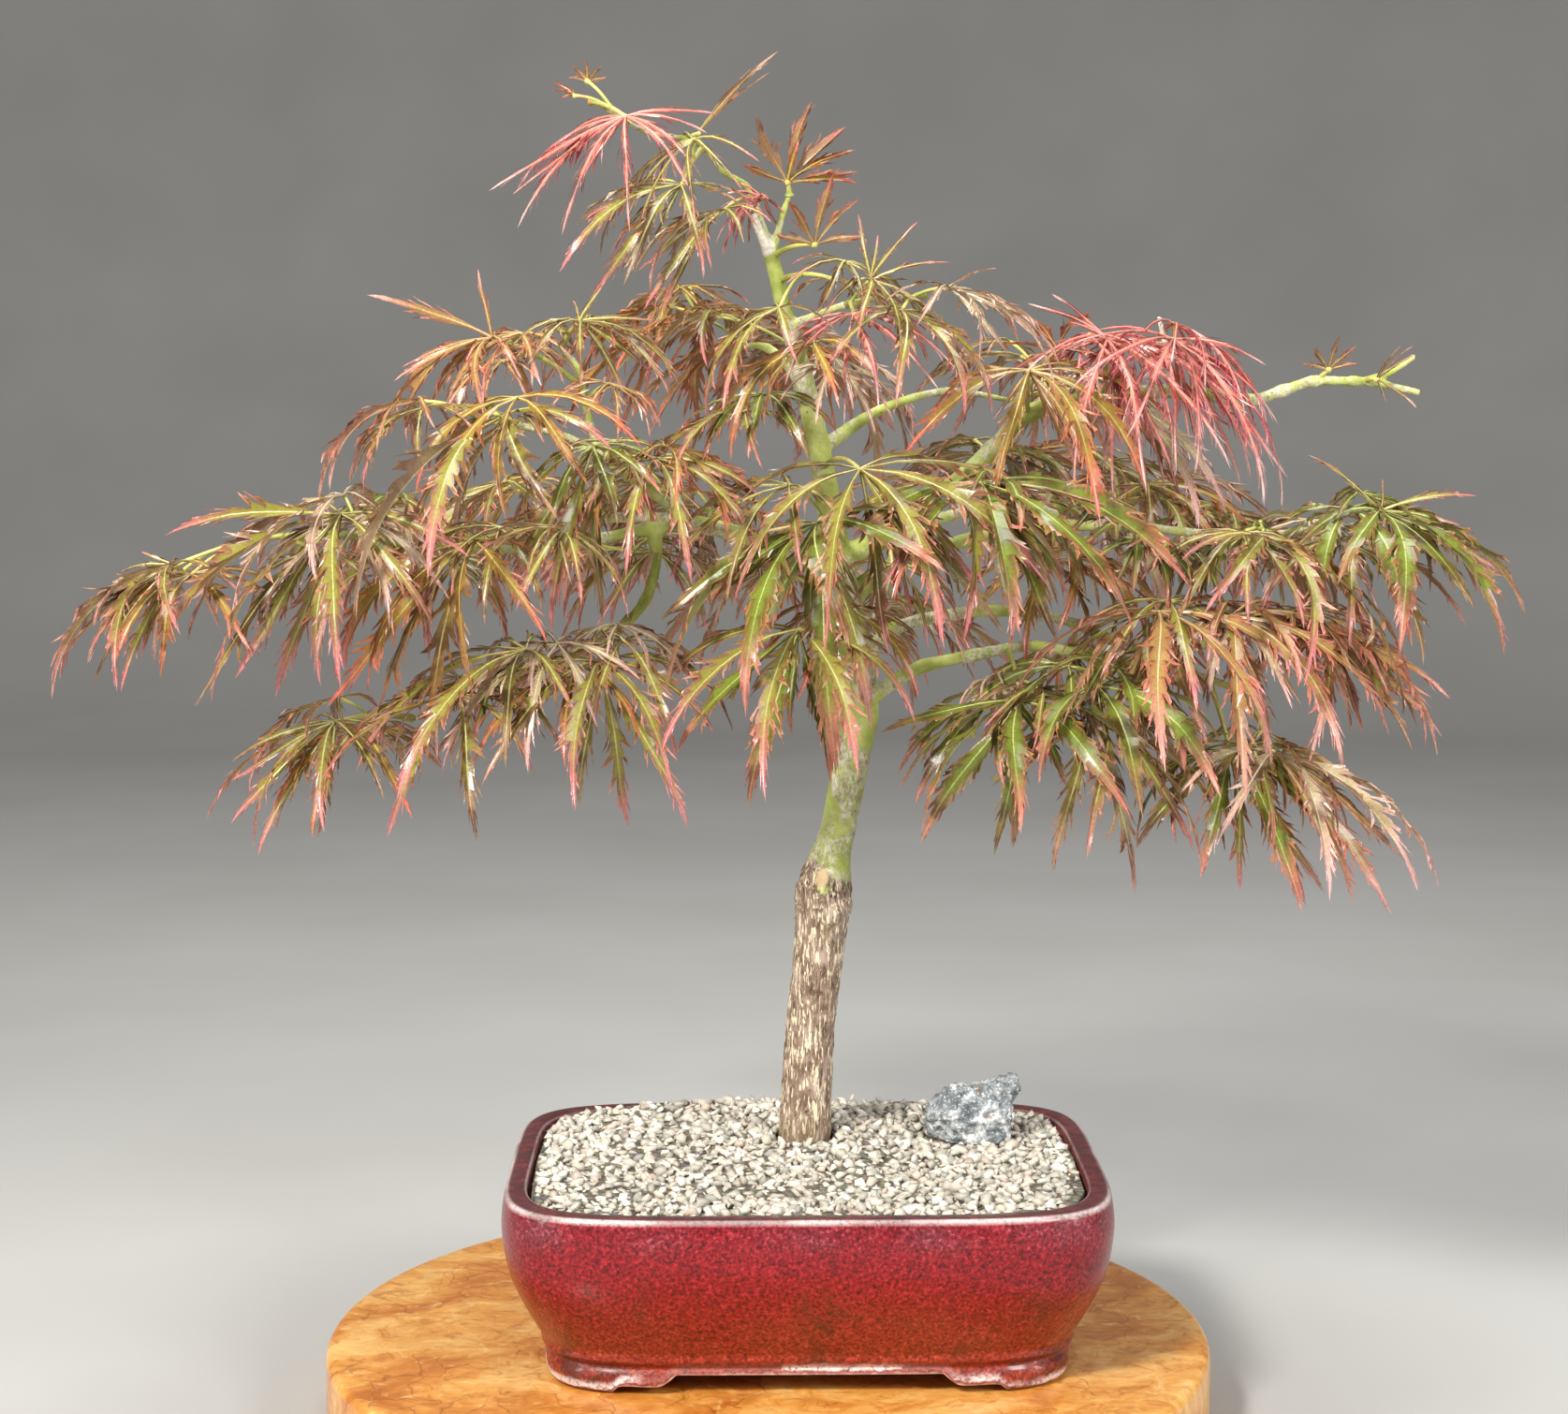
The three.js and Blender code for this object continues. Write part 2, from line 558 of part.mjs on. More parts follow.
// A leaf's lobes and the three directions of its plane, drawn from its own seed
function plannedLeaf([x, y, z, length, heading, habitName], seed) {
  const habit = HABITS[habitName];
  const draw = draws(seed);
  const turn = radians(heading);
  const pitch = radians(habit.pitch + 16 * (draw() - 0.5));
  const roll = radians(24 * (draw() - 0.5));
  const ahead = Math.cos(pitch);
  const middle = vector(Math.cos(turn) * ahead, Math.sin(turn) * ahead, -Math.sin(pitch));
  const level = vector(-Math.sin(turn), Math.cos(turn), 0);
  const upright = middle.clone().cross(level);
  const side = level.multiplyScalar(Math.cos(roll)).addScaledVector(upright, Math.sin(roll));
  const normal = middle.clone().cross(side);
  const lobes = [];
  for (let i = 0; i < habit.lobes; i += 1) {
    const place = (i - (habit.lobes - 1) / 2) * habit.spacing;
    const share = 0.3 + 0.7 * Math.cos(radians(place) / 2) ** 2;
    lobes.push({
      angle: place + 9 * (draw() - 0.5),
      length: length * share * (0.88 + 0.2 * draw()),
      bend: habit.bend + 26 * (draw() - 0.5),
      lift: habit.lift,
      half: habit.half,
    });
  }
  return { hub: vector(x, y, z), habit, middle, side, normal, lobes, petiole: length };
}

// The same lobe after it has taken one of the ways round its neighbours
function bentLobe(lobe, [turn, drop, share]) {
  return { ...lobe, angle: lobe.angle + turn, lift: lobe.lift + drop, length: lobe.length * share };
}

// Place, level side direction and underside direction at a share of a lobe's length
function lobeAt(leaf, lobe, share) {
  const angle = radians(lobe.angle);
  const outward = leaf.middle.clone().multiplyScalar(Math.cos(angle));
  outward.addScaledVector(leaf.side, Math.sin(angle));
  const bend = radians(lobe.bend);
  const lift = radians(lobe.lift);
  const slope = lift + bend * share;
  const reach = (lobe.length * (Math.sin(slope) - Math.sin(lift))) / bend;
  const drop = (lobe.length * (Math.cos(lift) - Math.cos(slope))) / bend;
  const point = leaf.hub.clone().addScaledVector(outward, reach).addScaledVector(leaf.normal, -drop);
  const under = outward.clone().multiplyScalar(-Math.sin(slope));
  under.addScaledVector(leaf.normal, -Math.cos(slope));
  return { point, across: leaf.normal.clone().cross(outward), under };
}

// Where a lobe is narrow and wide: share of its length, share of its half width, and tooth lean
function lobeStations(length) {
  if (length >= 108) {
    return [[0.16, 0.26, 0], [0.4, 1, 0.03], [0.64, 0.66, -0.03]];
  }
  if (length >= 47) {
    return [[0.18, 0.3, 0], [0.5, 1, 0.03]];
  }
  return [[0.45, 1, 0.03]];
}

// A lobe's three-cornered sections and its tip, made larger all round by a margin
function lobeRings(leaf, lobe, margin) {
  const rings = lobeStations(lobe.length).map(([share, width, lean]) => {
    const half = Math.max(width * lobe.half * lobe.length, BLADE.rib) + margin;
    const left = lobeAt(leaf, lobe, share + lean);
    const right = lobeAt(leaf, lobe, share - lean);
    const keel = lobeAt(leaf, lobe, share);
    return [
      left.point.addScaledVector(left.across, half).addScaledVector(left.under, -margin),
      right.point.addScaledVector(right.across, -half).addScaledVector(right.under, -margin),
      keel.point.addScaledVector(keel.under, BLADE.thickness + margin),
    ];
  });
  const tip = lobeAt(leaf, lobe, 1 + margin / lobe.length);
  rings.push([tip.point]);
  return rings;
}

// The points between neighbouring lobes, and the leaf's centre above and below
function hubPoints(leaf, lobes) {
  const { spacing } = leaf.habit;
  const first = lobes[0].angle - spacing / 2;
  const last = lobes[lobes.length - 1].angle + spacing / 2;
  const angles = [first];
  for (let i = 0; i + 1 < lobes.length; i += 1) {
    angles.push((lobes[i].angle + lobes[i + 1].angle) / 2);
  }
  angles.push(last);
  const between = angles.map((angle) => {
    const point = leaf.hub.clone().addScaledVector(leaf.middle, BLADE.hub * Math.cos(radians(angle)));
    return point.addScaledVector(leaf.side, BLADE.hub * Math.sin(radians(angle)));
  });
  const above = leaf.hub.clone().addScaledVector(leaf.normal, 0.7);
  const below = leaf.hub.clone().addScaledVector(leaf.normal, -BLADE.thickness);
  return { between, above, below };
}

// The three-cornered sections of a leaf's stem, from its hub to the root of its curve.
// The first is as wide as the hub, for the clearance test.
function stemRings(leaf, curve, rootRadius, margin) {
  const rings = [];
  const steps = curve.v0.distanceTo(curve.v2) > TWIG.short ? 3 : 2;
  let up = leaf.normal;
  for (let i = steps; i >= 0; i -= 1) {
    const share = i / steps;
    const towardRoot = curve.getTangent(share).negate();
    up = up.clone().addScaledVector(towardRoot, -up.dot(towardRoot)).normalize();
    const across = up.clone().cross(towardRoot);
    const slim = rootRadius + (TWIG.leaf - rootRadius) * share;
    const radius = (share === 1 ? 1.25 * BLADE.hub : slim) + margin;
    const ring = [0, 1, 2].map((k) => {
      const angle = Math.PI / 6 + (k * 2 * Math.PI) / 3;
      const point = curve.getPoint(share).addScaledVector(across, radius * Math.cos(angle));
      return point.addScaledVector(up, radius * Math.sin(angle));
    });
    rings.push(ring);
  }
  return rings;
}

// One closed solid for a whole leaf: lobes and a stem round a small hub
function leafSolid(leaf, lobes, stemFromHub) {
  const { between, above, below } = hubPoints(leaf, lobes);
  const points = [above, below, ...between];
  const triangles = [];
  const arms = lobes.map((lobe, i) => [2 + i, 3 + i, lobeRings(leaf, lobe, 0)]);
  arms.push([points.length - 1, 2, stemFromHub]);
  for (const [right, left, rings] of arms) {
    triangles.push(0, right, left);
    let previous = [left, right, 1];
    for (const ring of rings) {
      const start = points.length;
      points.push(...ring);
      for (let k = 0; k < 3; k += 1) {
        const next = (k + 1) % 3;
        if (ring.length === 1) {
          triangles.push(previous[k], previous[next], start);
        } else {
          triangles.push(previous[k], previous[next], start + next);
          triangles.push(previous[k], start + next, start + k);
        }
      }
      previous = [start, start + 1, start + 2];
    }
    if (rings[rings.length - 1].length === 3) {
      triangles.push(...previous);
    }
  }
  return solidFrom(points.flatMap((point) => point.toArray()), triangles);
}

// One lobe alone, larger by the clearance, to try it against other sprays
function lobeTrial(leaf, lobe, margin) {
  const inner = lobeAt(leaf, lobe, 0);
  const half = BLADE.rib + margin;
  const base = [
    inner.point.clone().addScaledVector(inner.across, half).addScaledVector(inner.under, -margin),
    inner.point.clone().addScaledVector(inner.across, -half).addScaledVector(inner.under, -margin),
    inner.point.clone().addScaledVector(inner.under, BLADE.thickness + margin),
  ];
  return skin([base, ...lobeRings(leaf, lobe, margin)]);
}

// Sprays

// An arched curve from one point to another, bent by one of the ways round its neighbours
function archedStem(from, to, rise, [sideways, away, up]) {
  const length = from.distanceTo(to);
  const middle = from.clone().add(to).multiplyScalar(0.5);
  middle.add(vector(sideways, away, up + rise).multiplyScalar(length));
  return new THREE.QuadraticBezierCurve3(from, middle, to);
}

function plannedSpray([name, limb, place, rows], index) {
  const leaves = rows.map((row, i) => plannedLeaf(row, 1000 + 40 * index + i));
  return { name, root: pointOn(limb, place), leaves, color: leaves[0].habit.color };
}

// The far side's sprays: a pair of leaves each, turned out from the trunk
function backSprays() {
  const rows = [];
  const draw = draws(77);
  const habits = ["bronze", "green", "bronze", "pale", "orange"];
  for (const [limb, places] of BACK_SPRAYS) {
    places.forEach((place, i) => {
      const root = pointOn(limb, place);
      const outward = Math.atan2(root.y - ROOT.y, root.x - ROOT.x);
      const leaves = [-1, 1].map((side) => {
        const heading = outward + side * radians(BACK_LEAF.turn * (0.7 + 0.6 * draw()));
        const x = root.x + BACK_LEAF.reach * Math.cos(heading);
        const y = root.y + BACK_LEAF.reach * Math.sin(heading);
        const z = root.z + BACK_LEAF.rise * (1 + side * 0.9 + draw());
        const length = BACK_LEAF.length + BACK_LEAF.lengthSpread * draw();
        const habit = habits[Math.floor(draw() * habits.length)];
        return [x, y, z, length, (heading * 180) / Math.PI, habit];
      });
      rows.push([`${limb}_${i + 1}`, limb, place, leaves]);
    });
  }
  return rows;
}

// Everything placed so far, each with its owner, for the clearance test
const placed = [];

function place(owner, solid) {
  placed.push({ owner, solid, box: boxOf(solid) });
}

function isClear(owner, trial) {
  const box = boxOf(trial);
  return placed.every((other) => {
    const near = other.owner !== owner && other.box.intersectsBox(box);
    return !near || trial.intersect(other.solid).isEmpty();
  });
}

// The first way whose trial solid is clear, or else the last
function clearWay(owner, ways, trialFor) {
  const found = ways.find((way) => isClear(owner, trialFor(way)));
  return found ?? ways[ways.length - 1];
}

// A ball round a leaf's hub, for the clearance test
function hubBall(leaf) {
  const geometry = new THREE.IcosahedronGeometry(1.3 * BLADE.hub, 0);
  geometry.translate(...leaf.hub.toArray());
  return solidOf(geometry);
}

// The stems of a spray: a shoot from the limb to the first leaf, and petioles off it to the others,
// each arched clear of its neighbours
function growStems(spray) {
  spray.leaves.forEach((leaf, i) => {
    const shoot = i === 0;
    const from = shoot ? spray.root : spray.leaves[0].curve.getPoint(BRANCHING[i]);
    const radius = shoot ? TWIG.root : TWIG.petiole;
    const end = leaf.hub.clone().addScaledVector(leaf.normal, -0.4);
    const curveFor = (way) => archedStem(from, end, 0.14, way);
    const trial = (way) => {
      const rings = stemRings(leaf, curveFor(way), radius, BLADE.clearance);
      return skin(shoot ? rings.slice(0, -1) : rings);
    };
    leaf.curve = curveFor(clearWay(spray.name, STEM_WAYS, trial));
    leaf.stem = stemRings(leaf, leaf.curve, radius, 0);
    place(spray.name, skin(leaf.stem));
    place(spray.name, hubBall(leaf));
  });
}

// The leaves of a spray, each lobe bent clear of what is already there
function growLeaves(spray) {
  spray.solids = spray.leaves.map((leaf) => {
    const lobes = leaf.lobes.map((lobe) => {
      const trial = (way) => lobeTrial(leaf, bentLobe(lobe, way), BLADE.clearance);
      const bent = bentLobe(lobe, clearWay(spray.name, LOBE_WAYS, trial));
      place(spray.name, lobeTrial(leaf, bent, 0));
      return bent;
    });
    return leafSolid(leaf, lobes, leaf.stem.slice(1));
  });
}

// The whole object

const wood = woodSolid(0);
const woodClear = woodSolid(GAP);
place("wood", wood);

const sprays = [...SPRAYS, ...backSprays()].map(plannedSpray);
sprays.forEach(growStems);
sprays.forEach(growLeaves);

const tree = new THREE.Group();
tree.add(meshOf("trunk_and_limbs", wood, "#8f8f5a", 0.8));
for (const spray of sprays) {
  const whole = joined(spray.solids).subtract(woodClear);
  tree.add(meshOf(`spray_${spray.name}`, largestBody(whole), spray.color, 0.6));
}

const stand = new THREE.Group();
stand.add(meshOf("round_board", boardSolid(), "#c98a45", 0.55));

const planting = new THREE.Group();
planting.add(meshOf("pot", potSolid(), "#8e2a26", 0.25));
planting.add(meshOf("gravel_bed", gravelSolid(), "#cfc6b4", 0.9));
planting.add(meshOf("rock", rockSolid(), "#7f8890", 0.85));

const bonsai = new THREE.Group();
bonsai.add(stand, planting, tree);

export default bonsai;
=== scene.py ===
# The looks of a Crimson Queen Japanese maple grown as a bonsai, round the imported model.
# The tables give millimetres, as the part's source does, and every mesh is made in metres.

import functools
import math

import bmesh
import bpy
import numpy as np
from mathutils import Euler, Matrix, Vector, noise


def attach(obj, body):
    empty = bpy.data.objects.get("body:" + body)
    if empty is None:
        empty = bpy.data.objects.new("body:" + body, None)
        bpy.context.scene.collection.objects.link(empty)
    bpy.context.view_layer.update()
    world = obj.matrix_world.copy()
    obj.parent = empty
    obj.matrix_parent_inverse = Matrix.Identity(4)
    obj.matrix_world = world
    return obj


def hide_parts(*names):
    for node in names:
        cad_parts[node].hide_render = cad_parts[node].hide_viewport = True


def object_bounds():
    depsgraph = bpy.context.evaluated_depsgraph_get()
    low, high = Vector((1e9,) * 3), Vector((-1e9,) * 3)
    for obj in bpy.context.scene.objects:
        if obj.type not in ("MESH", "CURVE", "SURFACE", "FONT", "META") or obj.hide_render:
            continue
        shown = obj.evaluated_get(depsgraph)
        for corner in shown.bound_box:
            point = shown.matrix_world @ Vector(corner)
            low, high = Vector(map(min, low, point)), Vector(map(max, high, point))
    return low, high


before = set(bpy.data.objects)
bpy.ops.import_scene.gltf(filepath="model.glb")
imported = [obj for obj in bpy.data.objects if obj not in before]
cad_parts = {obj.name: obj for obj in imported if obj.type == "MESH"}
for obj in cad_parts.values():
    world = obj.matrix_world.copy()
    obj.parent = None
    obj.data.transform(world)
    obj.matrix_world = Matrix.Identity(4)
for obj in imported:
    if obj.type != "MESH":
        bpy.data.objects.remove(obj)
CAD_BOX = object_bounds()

MM = 0.001
LIMITS = np.array(CAD_BOX) / MM
ROUND = 2 * math.pi
# Seeds of the draws, the first two the same as the part's
SEEDS = {"back_sprays": 77, "leaves": 1000, "partners": 7000, "stones": 21}

# Driving dimensions, the same as the part's where it has them

GAP = 0.3
BOARD = {"radius": 228.5, "top": 38, "edge_round": 5, "foot_round": 2}
POT = {"x": 19, "y": -5, "narrowing": 35, "squareness": 5.4, "underside": 10.6, "foot_ring": 15,
       "drain_hole": 20, "drain_spread": 60, "front_cloud": 98, "side_cloud": 66, "rim_from": 91,
       "rim_outer_edge": 150.6, "rim_inner_edge": 141.2, "sides": 192}
GRAVEL = {"edge": 90.5, "half_length": 139.3, "heap": 7, "heap_width": 125, "mound": 5.5, "mound_width": 45}
# The gravel's stones, a layer a row: spacing, smallest and largest half length, and how deep they sink
STONE_LAYERS = [(5, 3.2, 4.7, 1.3), (7.6, 3.6, 5.6, -0.5), (26, 5.8, 7.8, 1.8)]
# The most that a stone leans, in radians from one side to the other
STONE_TILT = 1.5
ROCK = {"x": 108, "y": 31, "length": 53, "bed": 93.2, "half_length": 27, "half_width": 17}
ROOT = {"x": 19, "y": 14, "radius": 14.2}
TWIG = {"root": 1.7, "leaf": 0.85, "petiole": 0.9, "short": 36, "rise": 0.14, "below_hub": 0.4}
# How far along a spray's first stem its other leaves' stems start
BRANCHING = [0, 0.45, 0.6]

# Outer half length and height of the pot's wall above the board, from the foot up to the rim
POT_OUTSIDE = [
    (129, 0), (131.4, 1.2), (132.5, 5), (132.4, 10), (131.2, 12.4), (131, 13.8), (132.6, 15.4), (134.4, 17.6),
    (134.2, 19.8), (134.8, 22), (137.2, 26), (141, 33.5), (145.6, 43), (149.4, 53), (151.8, 64), (153, 75),
    (152.8, 82), (152, 88), (151.4, 91.2), (150.2, 92.7), (148.8, 93),
]
# The same down the inside, from the rim to the floor
POT_INSIDE = [
    (142.2, 93), (141, 92.5), (140.5, 91.4), (139.6, 82), (138, 70), (134.6, 52), (130, 35), (118, 20),
]

# The trunk from its root end to its top: x, y, z and radius
TRUNK = [
    [19, 14, 101, 14.8], [19, 14, 132, 13.9], [22, 16, 193, 12.8], [27, 16, 240, 13.3], [29, 17, 267, 14.6],
    [33, 17, 287, 10.4], [37, 16, 302, 9.2], [44, 14, 341, 9.6], [47, 12, 366, 10.2], [41, 10, 409, 8.6],
    [36, 10, 438, 7.4], [28, 10, 486, 6], [21, 10, 519, 5.6], [14, 8, 547, 4.8], [8, 6, 566, 4.3],
    [5, 6, 580, 4], [1, 6, 595, 3.7],
]

# Each limb: radius at its root and at its end, then the points it passes, root first
LIMBS = {
    "upper_right": [5.5, 2, [
        [37, 10, 437], [58, 14, 450], [82, 18, 466], [116, 22, 495], [135, 25, 514], [174, 28, 522],
        [213, 28, 525], [246, 26, 520], [265, 25, 525], [281, 25, 530], [302, 24, 530], [316, 24, 530]]],
    "upper_right_fork": [1.9, 1.7, [[309, 24, 530], [321, 24, 535], [333, 24, 543]]],
    "upper_right_end": [1.9, 1.8, [[309, 24, 530], [323, 22, 527], [335, 20, 524]]],
    "arch_upper": [3.8, 2, [
        [50, 10, 378], [55, 6, 395], [64, 4, 404], [79, 2, 409], [95, 0, 412], [114, -2, 414],
        [138, -4, 412], [157, -6, 407], [173, -8, 400], [195, -6, 396], [225, 0, 396], [254, 4, 400]]],
    "arch_lower": [4, 2, [
        [49, 8, 364], [55, 2, 371], [66, -4, 379], [78, -8, 386], [104, -12, 392], [132, -16, 397],
        [160, -20, 393], [185, -22, 389], [211, -24, 384], [235, -26, 376]]],
    "far_right": [4.2, 1.6, [
        [41, 14, 419], [68, 34, 437], [108, 44, 448], [152, 44, 455], [195, 36, 454], [238, 26, 451],
        [274, 14, 453], [301, 4, 457]]],
    "left": [4.6, 1.6, [
        [37, 8, 428], [24, 4, 437], [5, 0, 446], [-17, -6, 453], [-38, -10, 457], [-61, -14, 456],
        [-85, -18, 451], [-113, -22, 447], [-149, -30, 447], [-181, -36, 450], [-203, -40, 454]]],
    "left_rising": [3, 1.5, [
        [-38, -10, 457], [-54, -18, 472], [-71, -24, 484], [-84, -24, 496], [-90, -22, 514],
        [-94, -20, 535], [-103, -18, 546]]],
    "left_forward": [2.2, 1.5, [[-77, -24, 488], [-97, -34, 501], [-118, -42, 507], [-138, -46, 510]]],
    "left_falling": [3, 1.6, [
        [-57, -14, 456], [-57, -10, 439], [-62, -8, 420], [-76, -12, 405], [-99, -18, 393],
        [-123, -22, 383], [-151, -24, 369], [-179, -20, 361]]],
    "top_left": [2, 1.2, [
        [2, 6, 592], [-4, 9, 611], [-10, 11, 627], [-23, 9, 635], [-35, 7, 649], [-61, 6, 654],
        [-80, 6, 665], [-89, 6, 669]]],
    "apex": [2, 1.4, [[2, 6, 592], [5, 8, 604], [8, 8, 615], [11, 8, 623]]],
    "pruned_stub": [2.4, 2.1, [[1, 5, 592], [-3, 2, 602], [-8, 0, 613]]],
    "crown_right": [2.3, 1.4, [[11, 8, 557], [23, 0, 562], [40, -8, 568], [58, -12, 571], [77, -14, 572]]],
    "dry_stub": [1.8, 1.4, [[209, 28, 525], [205, 24, 545], [200, 20, 563]]],
    "back_left": [4, 1.6, [
        [38, 11, 425], [10, 38, 442], [-30, 68, 455], [-75, 92, 458], [-120, 108, 450], [-160, 116, 440]]],
    "back_right": [4, 1.6, [[37, 10, 436], [70, 48, 452], [115, 80, 462], [165, 102, 462], [212, 112, 452]]],
    "back_high": [3.2, 1.5, [[24, 10, 505], [15, 36, 532], [0, 64, 548], [-18, 88, 548]]],
    "back_top_right": [3, 1.5, [[26, 10, 495], [58, 38, 515], [95, 62, 525], [132, 78, 520]]],
    "back_low": [3.4, 1.6, [[46, 13, 372], [46, 46, 395], [34, 80, 405], [22, 108, 400]]],
}

# Swellings of the rootstock round the graft: x, y, z and radius
GRAFT_LUMPS = [
    (37.5, 12, 260, 6.4), (20.5, 12, 268, 6.2), (26, 5.5, 265, 6), (34, 5.5, 256, 5), (30, 6, 274, 4.6),
    (22, 26, 263, 6.4), (35, 27, 259, 6.2), (28, 30, 268, 5),
]
# Where the rootstock's bark ends and the scion's is whole, the swelling's height, and the pale scar
GRAFT = {"bark_from": 268, "bark_to": 288, "x": 30, "y": 14, "reach": 40, "swelling": 266, "spread": 14,
         "dark_at": 272, "dark_spread": 9, "scar": [27, 2, 277], "scar_size": 6.5}
# Widths of the voxels from which the bark and the rock are made again
VOXELS = {"bark": 1.12, "rock": 0.75}
DRY_WOOD = ["pruned_stub", "dry_stub"]

# Leaf habits: lobe count, degrees between lobes, half width as a share of lobe length,
# the lobes' first rise and whole bend, and how far the leaf tilts down, all three in degrees
BROAD = {"lobes": 7, "spacing": 35, "half": 0.056, "lift": -12, "bend": 72, "pitch": 20}
HABITS = {
    "bronze": BROAD,
    "green": {**BROAD, "half": 0.064},
    "orange": BROAD,
    "pale": BROAD,
    "pink": {"lobes": 9, "spacing": 27, "half": 0.03, "lift": -6, "bend": 62, "pitch": 30},
    "young": {"lobes": 5, "spacing": 44, "half": 0.075, "lift": -6, "bend": 30, "pitch": -34},
    "upright": {"lobes": 5, "spacing": 37, "half": 0.07, "lift": -4, "bend": 28, "pitch": -64},
    "wisp": {"lobes": 3, "spacing": 26, "half": 0.022, "lift": 0, "bend": 16, "pitch": -48},
}

# Leafy sprays: name, limb, place along the limb counted in its points, and the leaves.
# A leaf is its hub's x, y and z, its longest lobe, its heading in plan and its habit.
SPRAYS = [
    ["far_left", "left", 10, [[-291, -50, 440, 100, -155, "bronze"], [-220, -42, 445, 60, -110, "bronze"]]],
    ["left_fan", "left", 9.2, [
        [-205, -78, 466, 125, -135, "bronze"], [-185, -55, 467, 50, -60, "pale"],
        [-175, 5, 442, 95, -120, "bronze"]]],
    ["left_outer", "left_forward", 3, [
        [-170, -58, 520, 75, 180, "pale"], [-128, -78, 512, 125, -150, "bronze"]]],
    ["left_upper", "left_rising", 4.6, [
        [-136, -30, 551, 95, 180, "bronze"], [-130, -45, 539, 42, -140, "bronze"]]],
    ["left_high", "left_rising", 6, [[-93, -30, 559, 68, -45, "bronze"], [-105, -22, 555, 45, 150, "pale"]]],
    ["left_nook", "left_rising", 4.2, [[-78, -45, 528, 42, -70, "pale"]]],
    ["left_middle", "left_rising", 2.4, [
        [-85, -62, 498, 68, -118, "green"], [-56, -50, 492, 88, -66, "bronze"]]],
    ["left_inner", "left", 6.8, [
        [-100, -77, 458, 65, -70, "bronze"], [-142, -72, 453, 100, -140, "orange"],
        [-58, -2, 444, 85, -100, "bronze"]]],
    ["low_left_far", "left_falling", 7, [
        [-215, -38, 362, 88, -135, "bronze"], [-207, -10, 353, 55, 130, "pale"]]],
    ["low_left_outer", "left_falling", 5.4, [
        [-119, -55, 399, 110, -175, "bronze"], [-151, -60, 377, 88, -115, "bronze"]]],
    ["low_left_inner", "left_falling", 2.6, [
        [-84, -52, 393, 108, -95, "bronze"], [-75, -45, 410, 48, -20, "pale"]]],
    ["front_high", "trunk", 10.3, [[23, -65, 461, 118, -125, "green"], [10, -50, 479, 92, -165, "bronze"]]],
    ["front_low", "trunk", 9.2, [[14, -62, 409, 118, -110, "bronze"], [35, -45, 419, 68, -75, "orange"]]],
    ["front_right", "trunk", 11, [[44, -60, 487, 132, -65, "bronze"]]],
    ["under_fork", "upper_right", 1.1, [[62, -22, 439, 60, -60, "bronze"]]],
    ["right_broad", "upper_right", 2.6, [[103, -55, 480, 128, -50, "green"]]],
    ["upper_left_front", "trunk", 12.7, [
        [22, -50, 548, 80, -165, "orange"], [30, -38, 536, 52, -60, "pale"],
        [-12, -22, 514, 80, -160, "bronze"]]],
    ["upper_middle", "crown_right", 2, [[41, -48, 562, 68, -75, "pink"], [50, -35, 579, 72, -20, "bronze"]]],
    ["upper_right_front", "crown_right", 4, [
        [64, -52, 563, 82, -55, "bronze"], [88, -40, 575, 78, -35, "pale"]]],
    ["orange", "upper_right", 3.9, [[130, -18, 535, 108, -65, "orange"], [146, 0, 546, 52, 60, "young"]]],
    ["upper_left_back", "trunk", 15, [[32, -25, 580, 65, 20, "bronze"], [5, -42, 565, 82, -165, "bronze"]]],
    ["under_apex", "trunk", 15.8, [[23, -15, 597, 38, -70, "upright"]]],
    ["apex", "apex", 3, [[10, 5, 629, 47, -58, "upright"]]],
    ["top_left_low", "top_left", 1.6, [[-3, -6, 621, 38, 165, "pink"], [-23, -22, 613, 64, -145, "bronze"]]],
    ["top_left_middle", "top_left", 3.8, [
        [-43, -18, 626, 80, -115, "bronze"], [-37, -8, 649, 82, -160, "pink"]]],
    ["top_left_wisp", "top_left", 4.2, [[-35, 14, 654, 57, 12, "wisp"]]],
    ["top_left_end", "top_left", 7, [
        [-71, -2, 661, 82, -125, "pink"], [-97, 6, 672, 14, 150, "young"],
        [-90, 7, 679, 14, -90, "upright"]]],
    ["pink_left", "upper_right", 5, [[171, -2, 551, 102, -80, "pink"]]],
    ["pink_right", "upper_right", 6, [[204, -2, 551, 112, -50, "pink"]]],
    ["right_buds", "upper_right", 9.1, [[288, 22, 536, 22, -85, "upright"]]],
    ["right_ends", "upper_right", 10.4, [[311, 14, 531, 26, -30, "wisp"]]],
    ["far_right", "far_right", 7, [[308, -15, 465, 108, -45, "green"]]],
    ["right_upper", "far_right", 5.4, [
        [248, -8, 459, 68, 140, "green"], [246, -38, 451, 115, -40, "bronze"]]],
    ["right_outer", "far_right", 6.2, [[286, -12, 450, 88, -50, "bronze"]]],
    ["right_inner", "far_right", 3.8, [
        [181, -12, 459, 65, -60, "green"], [199, -30, 450, 58, -35, "green"],
        [157, 8, 443, 85, -60, "orange"]]],
    ["right_arch", "arch_upper", 9, [[191, -55, 417, 118, -95, "pale"]]],
    ["right_centre", "arch_upper", 10, [
        [227, -52, 415, 118, -60, "bronze"], [258, -28, 414, 75, -25, "orange"]]],
    ["right_edge", "arch_upper", 11, [[280, -15, 406, 108, -50, "bronze"]]],
    ["low_right_near", "arch_lower", 4.6, [
        [123, -60, 374, 105, -100, "green"], [113, -42, 385, 34, 170, "pale"]]],
    ["right_shade", "arch_upper", 7, [[158, 20, 394, 80, -170, "bronze"]]],
    ["low_right_middle", "arch_lower", 6, [
        [160, -62, 381, 100, -85, "green"], [188, -48, 397, 52, -80, "orange"]]],
    ["low_right_hang", "arch_lower", 7, [[166, -50, 360, 102, -62, "bronze"]]],
    ["low_right_outer", "arch_lower", 8.4, [[229, -48, 345, 92, -75, "green"]]],
    ["low_right_pale", "arch_lower", 9, [[248, -62, 348, 118, -45, "pale"]]],
]

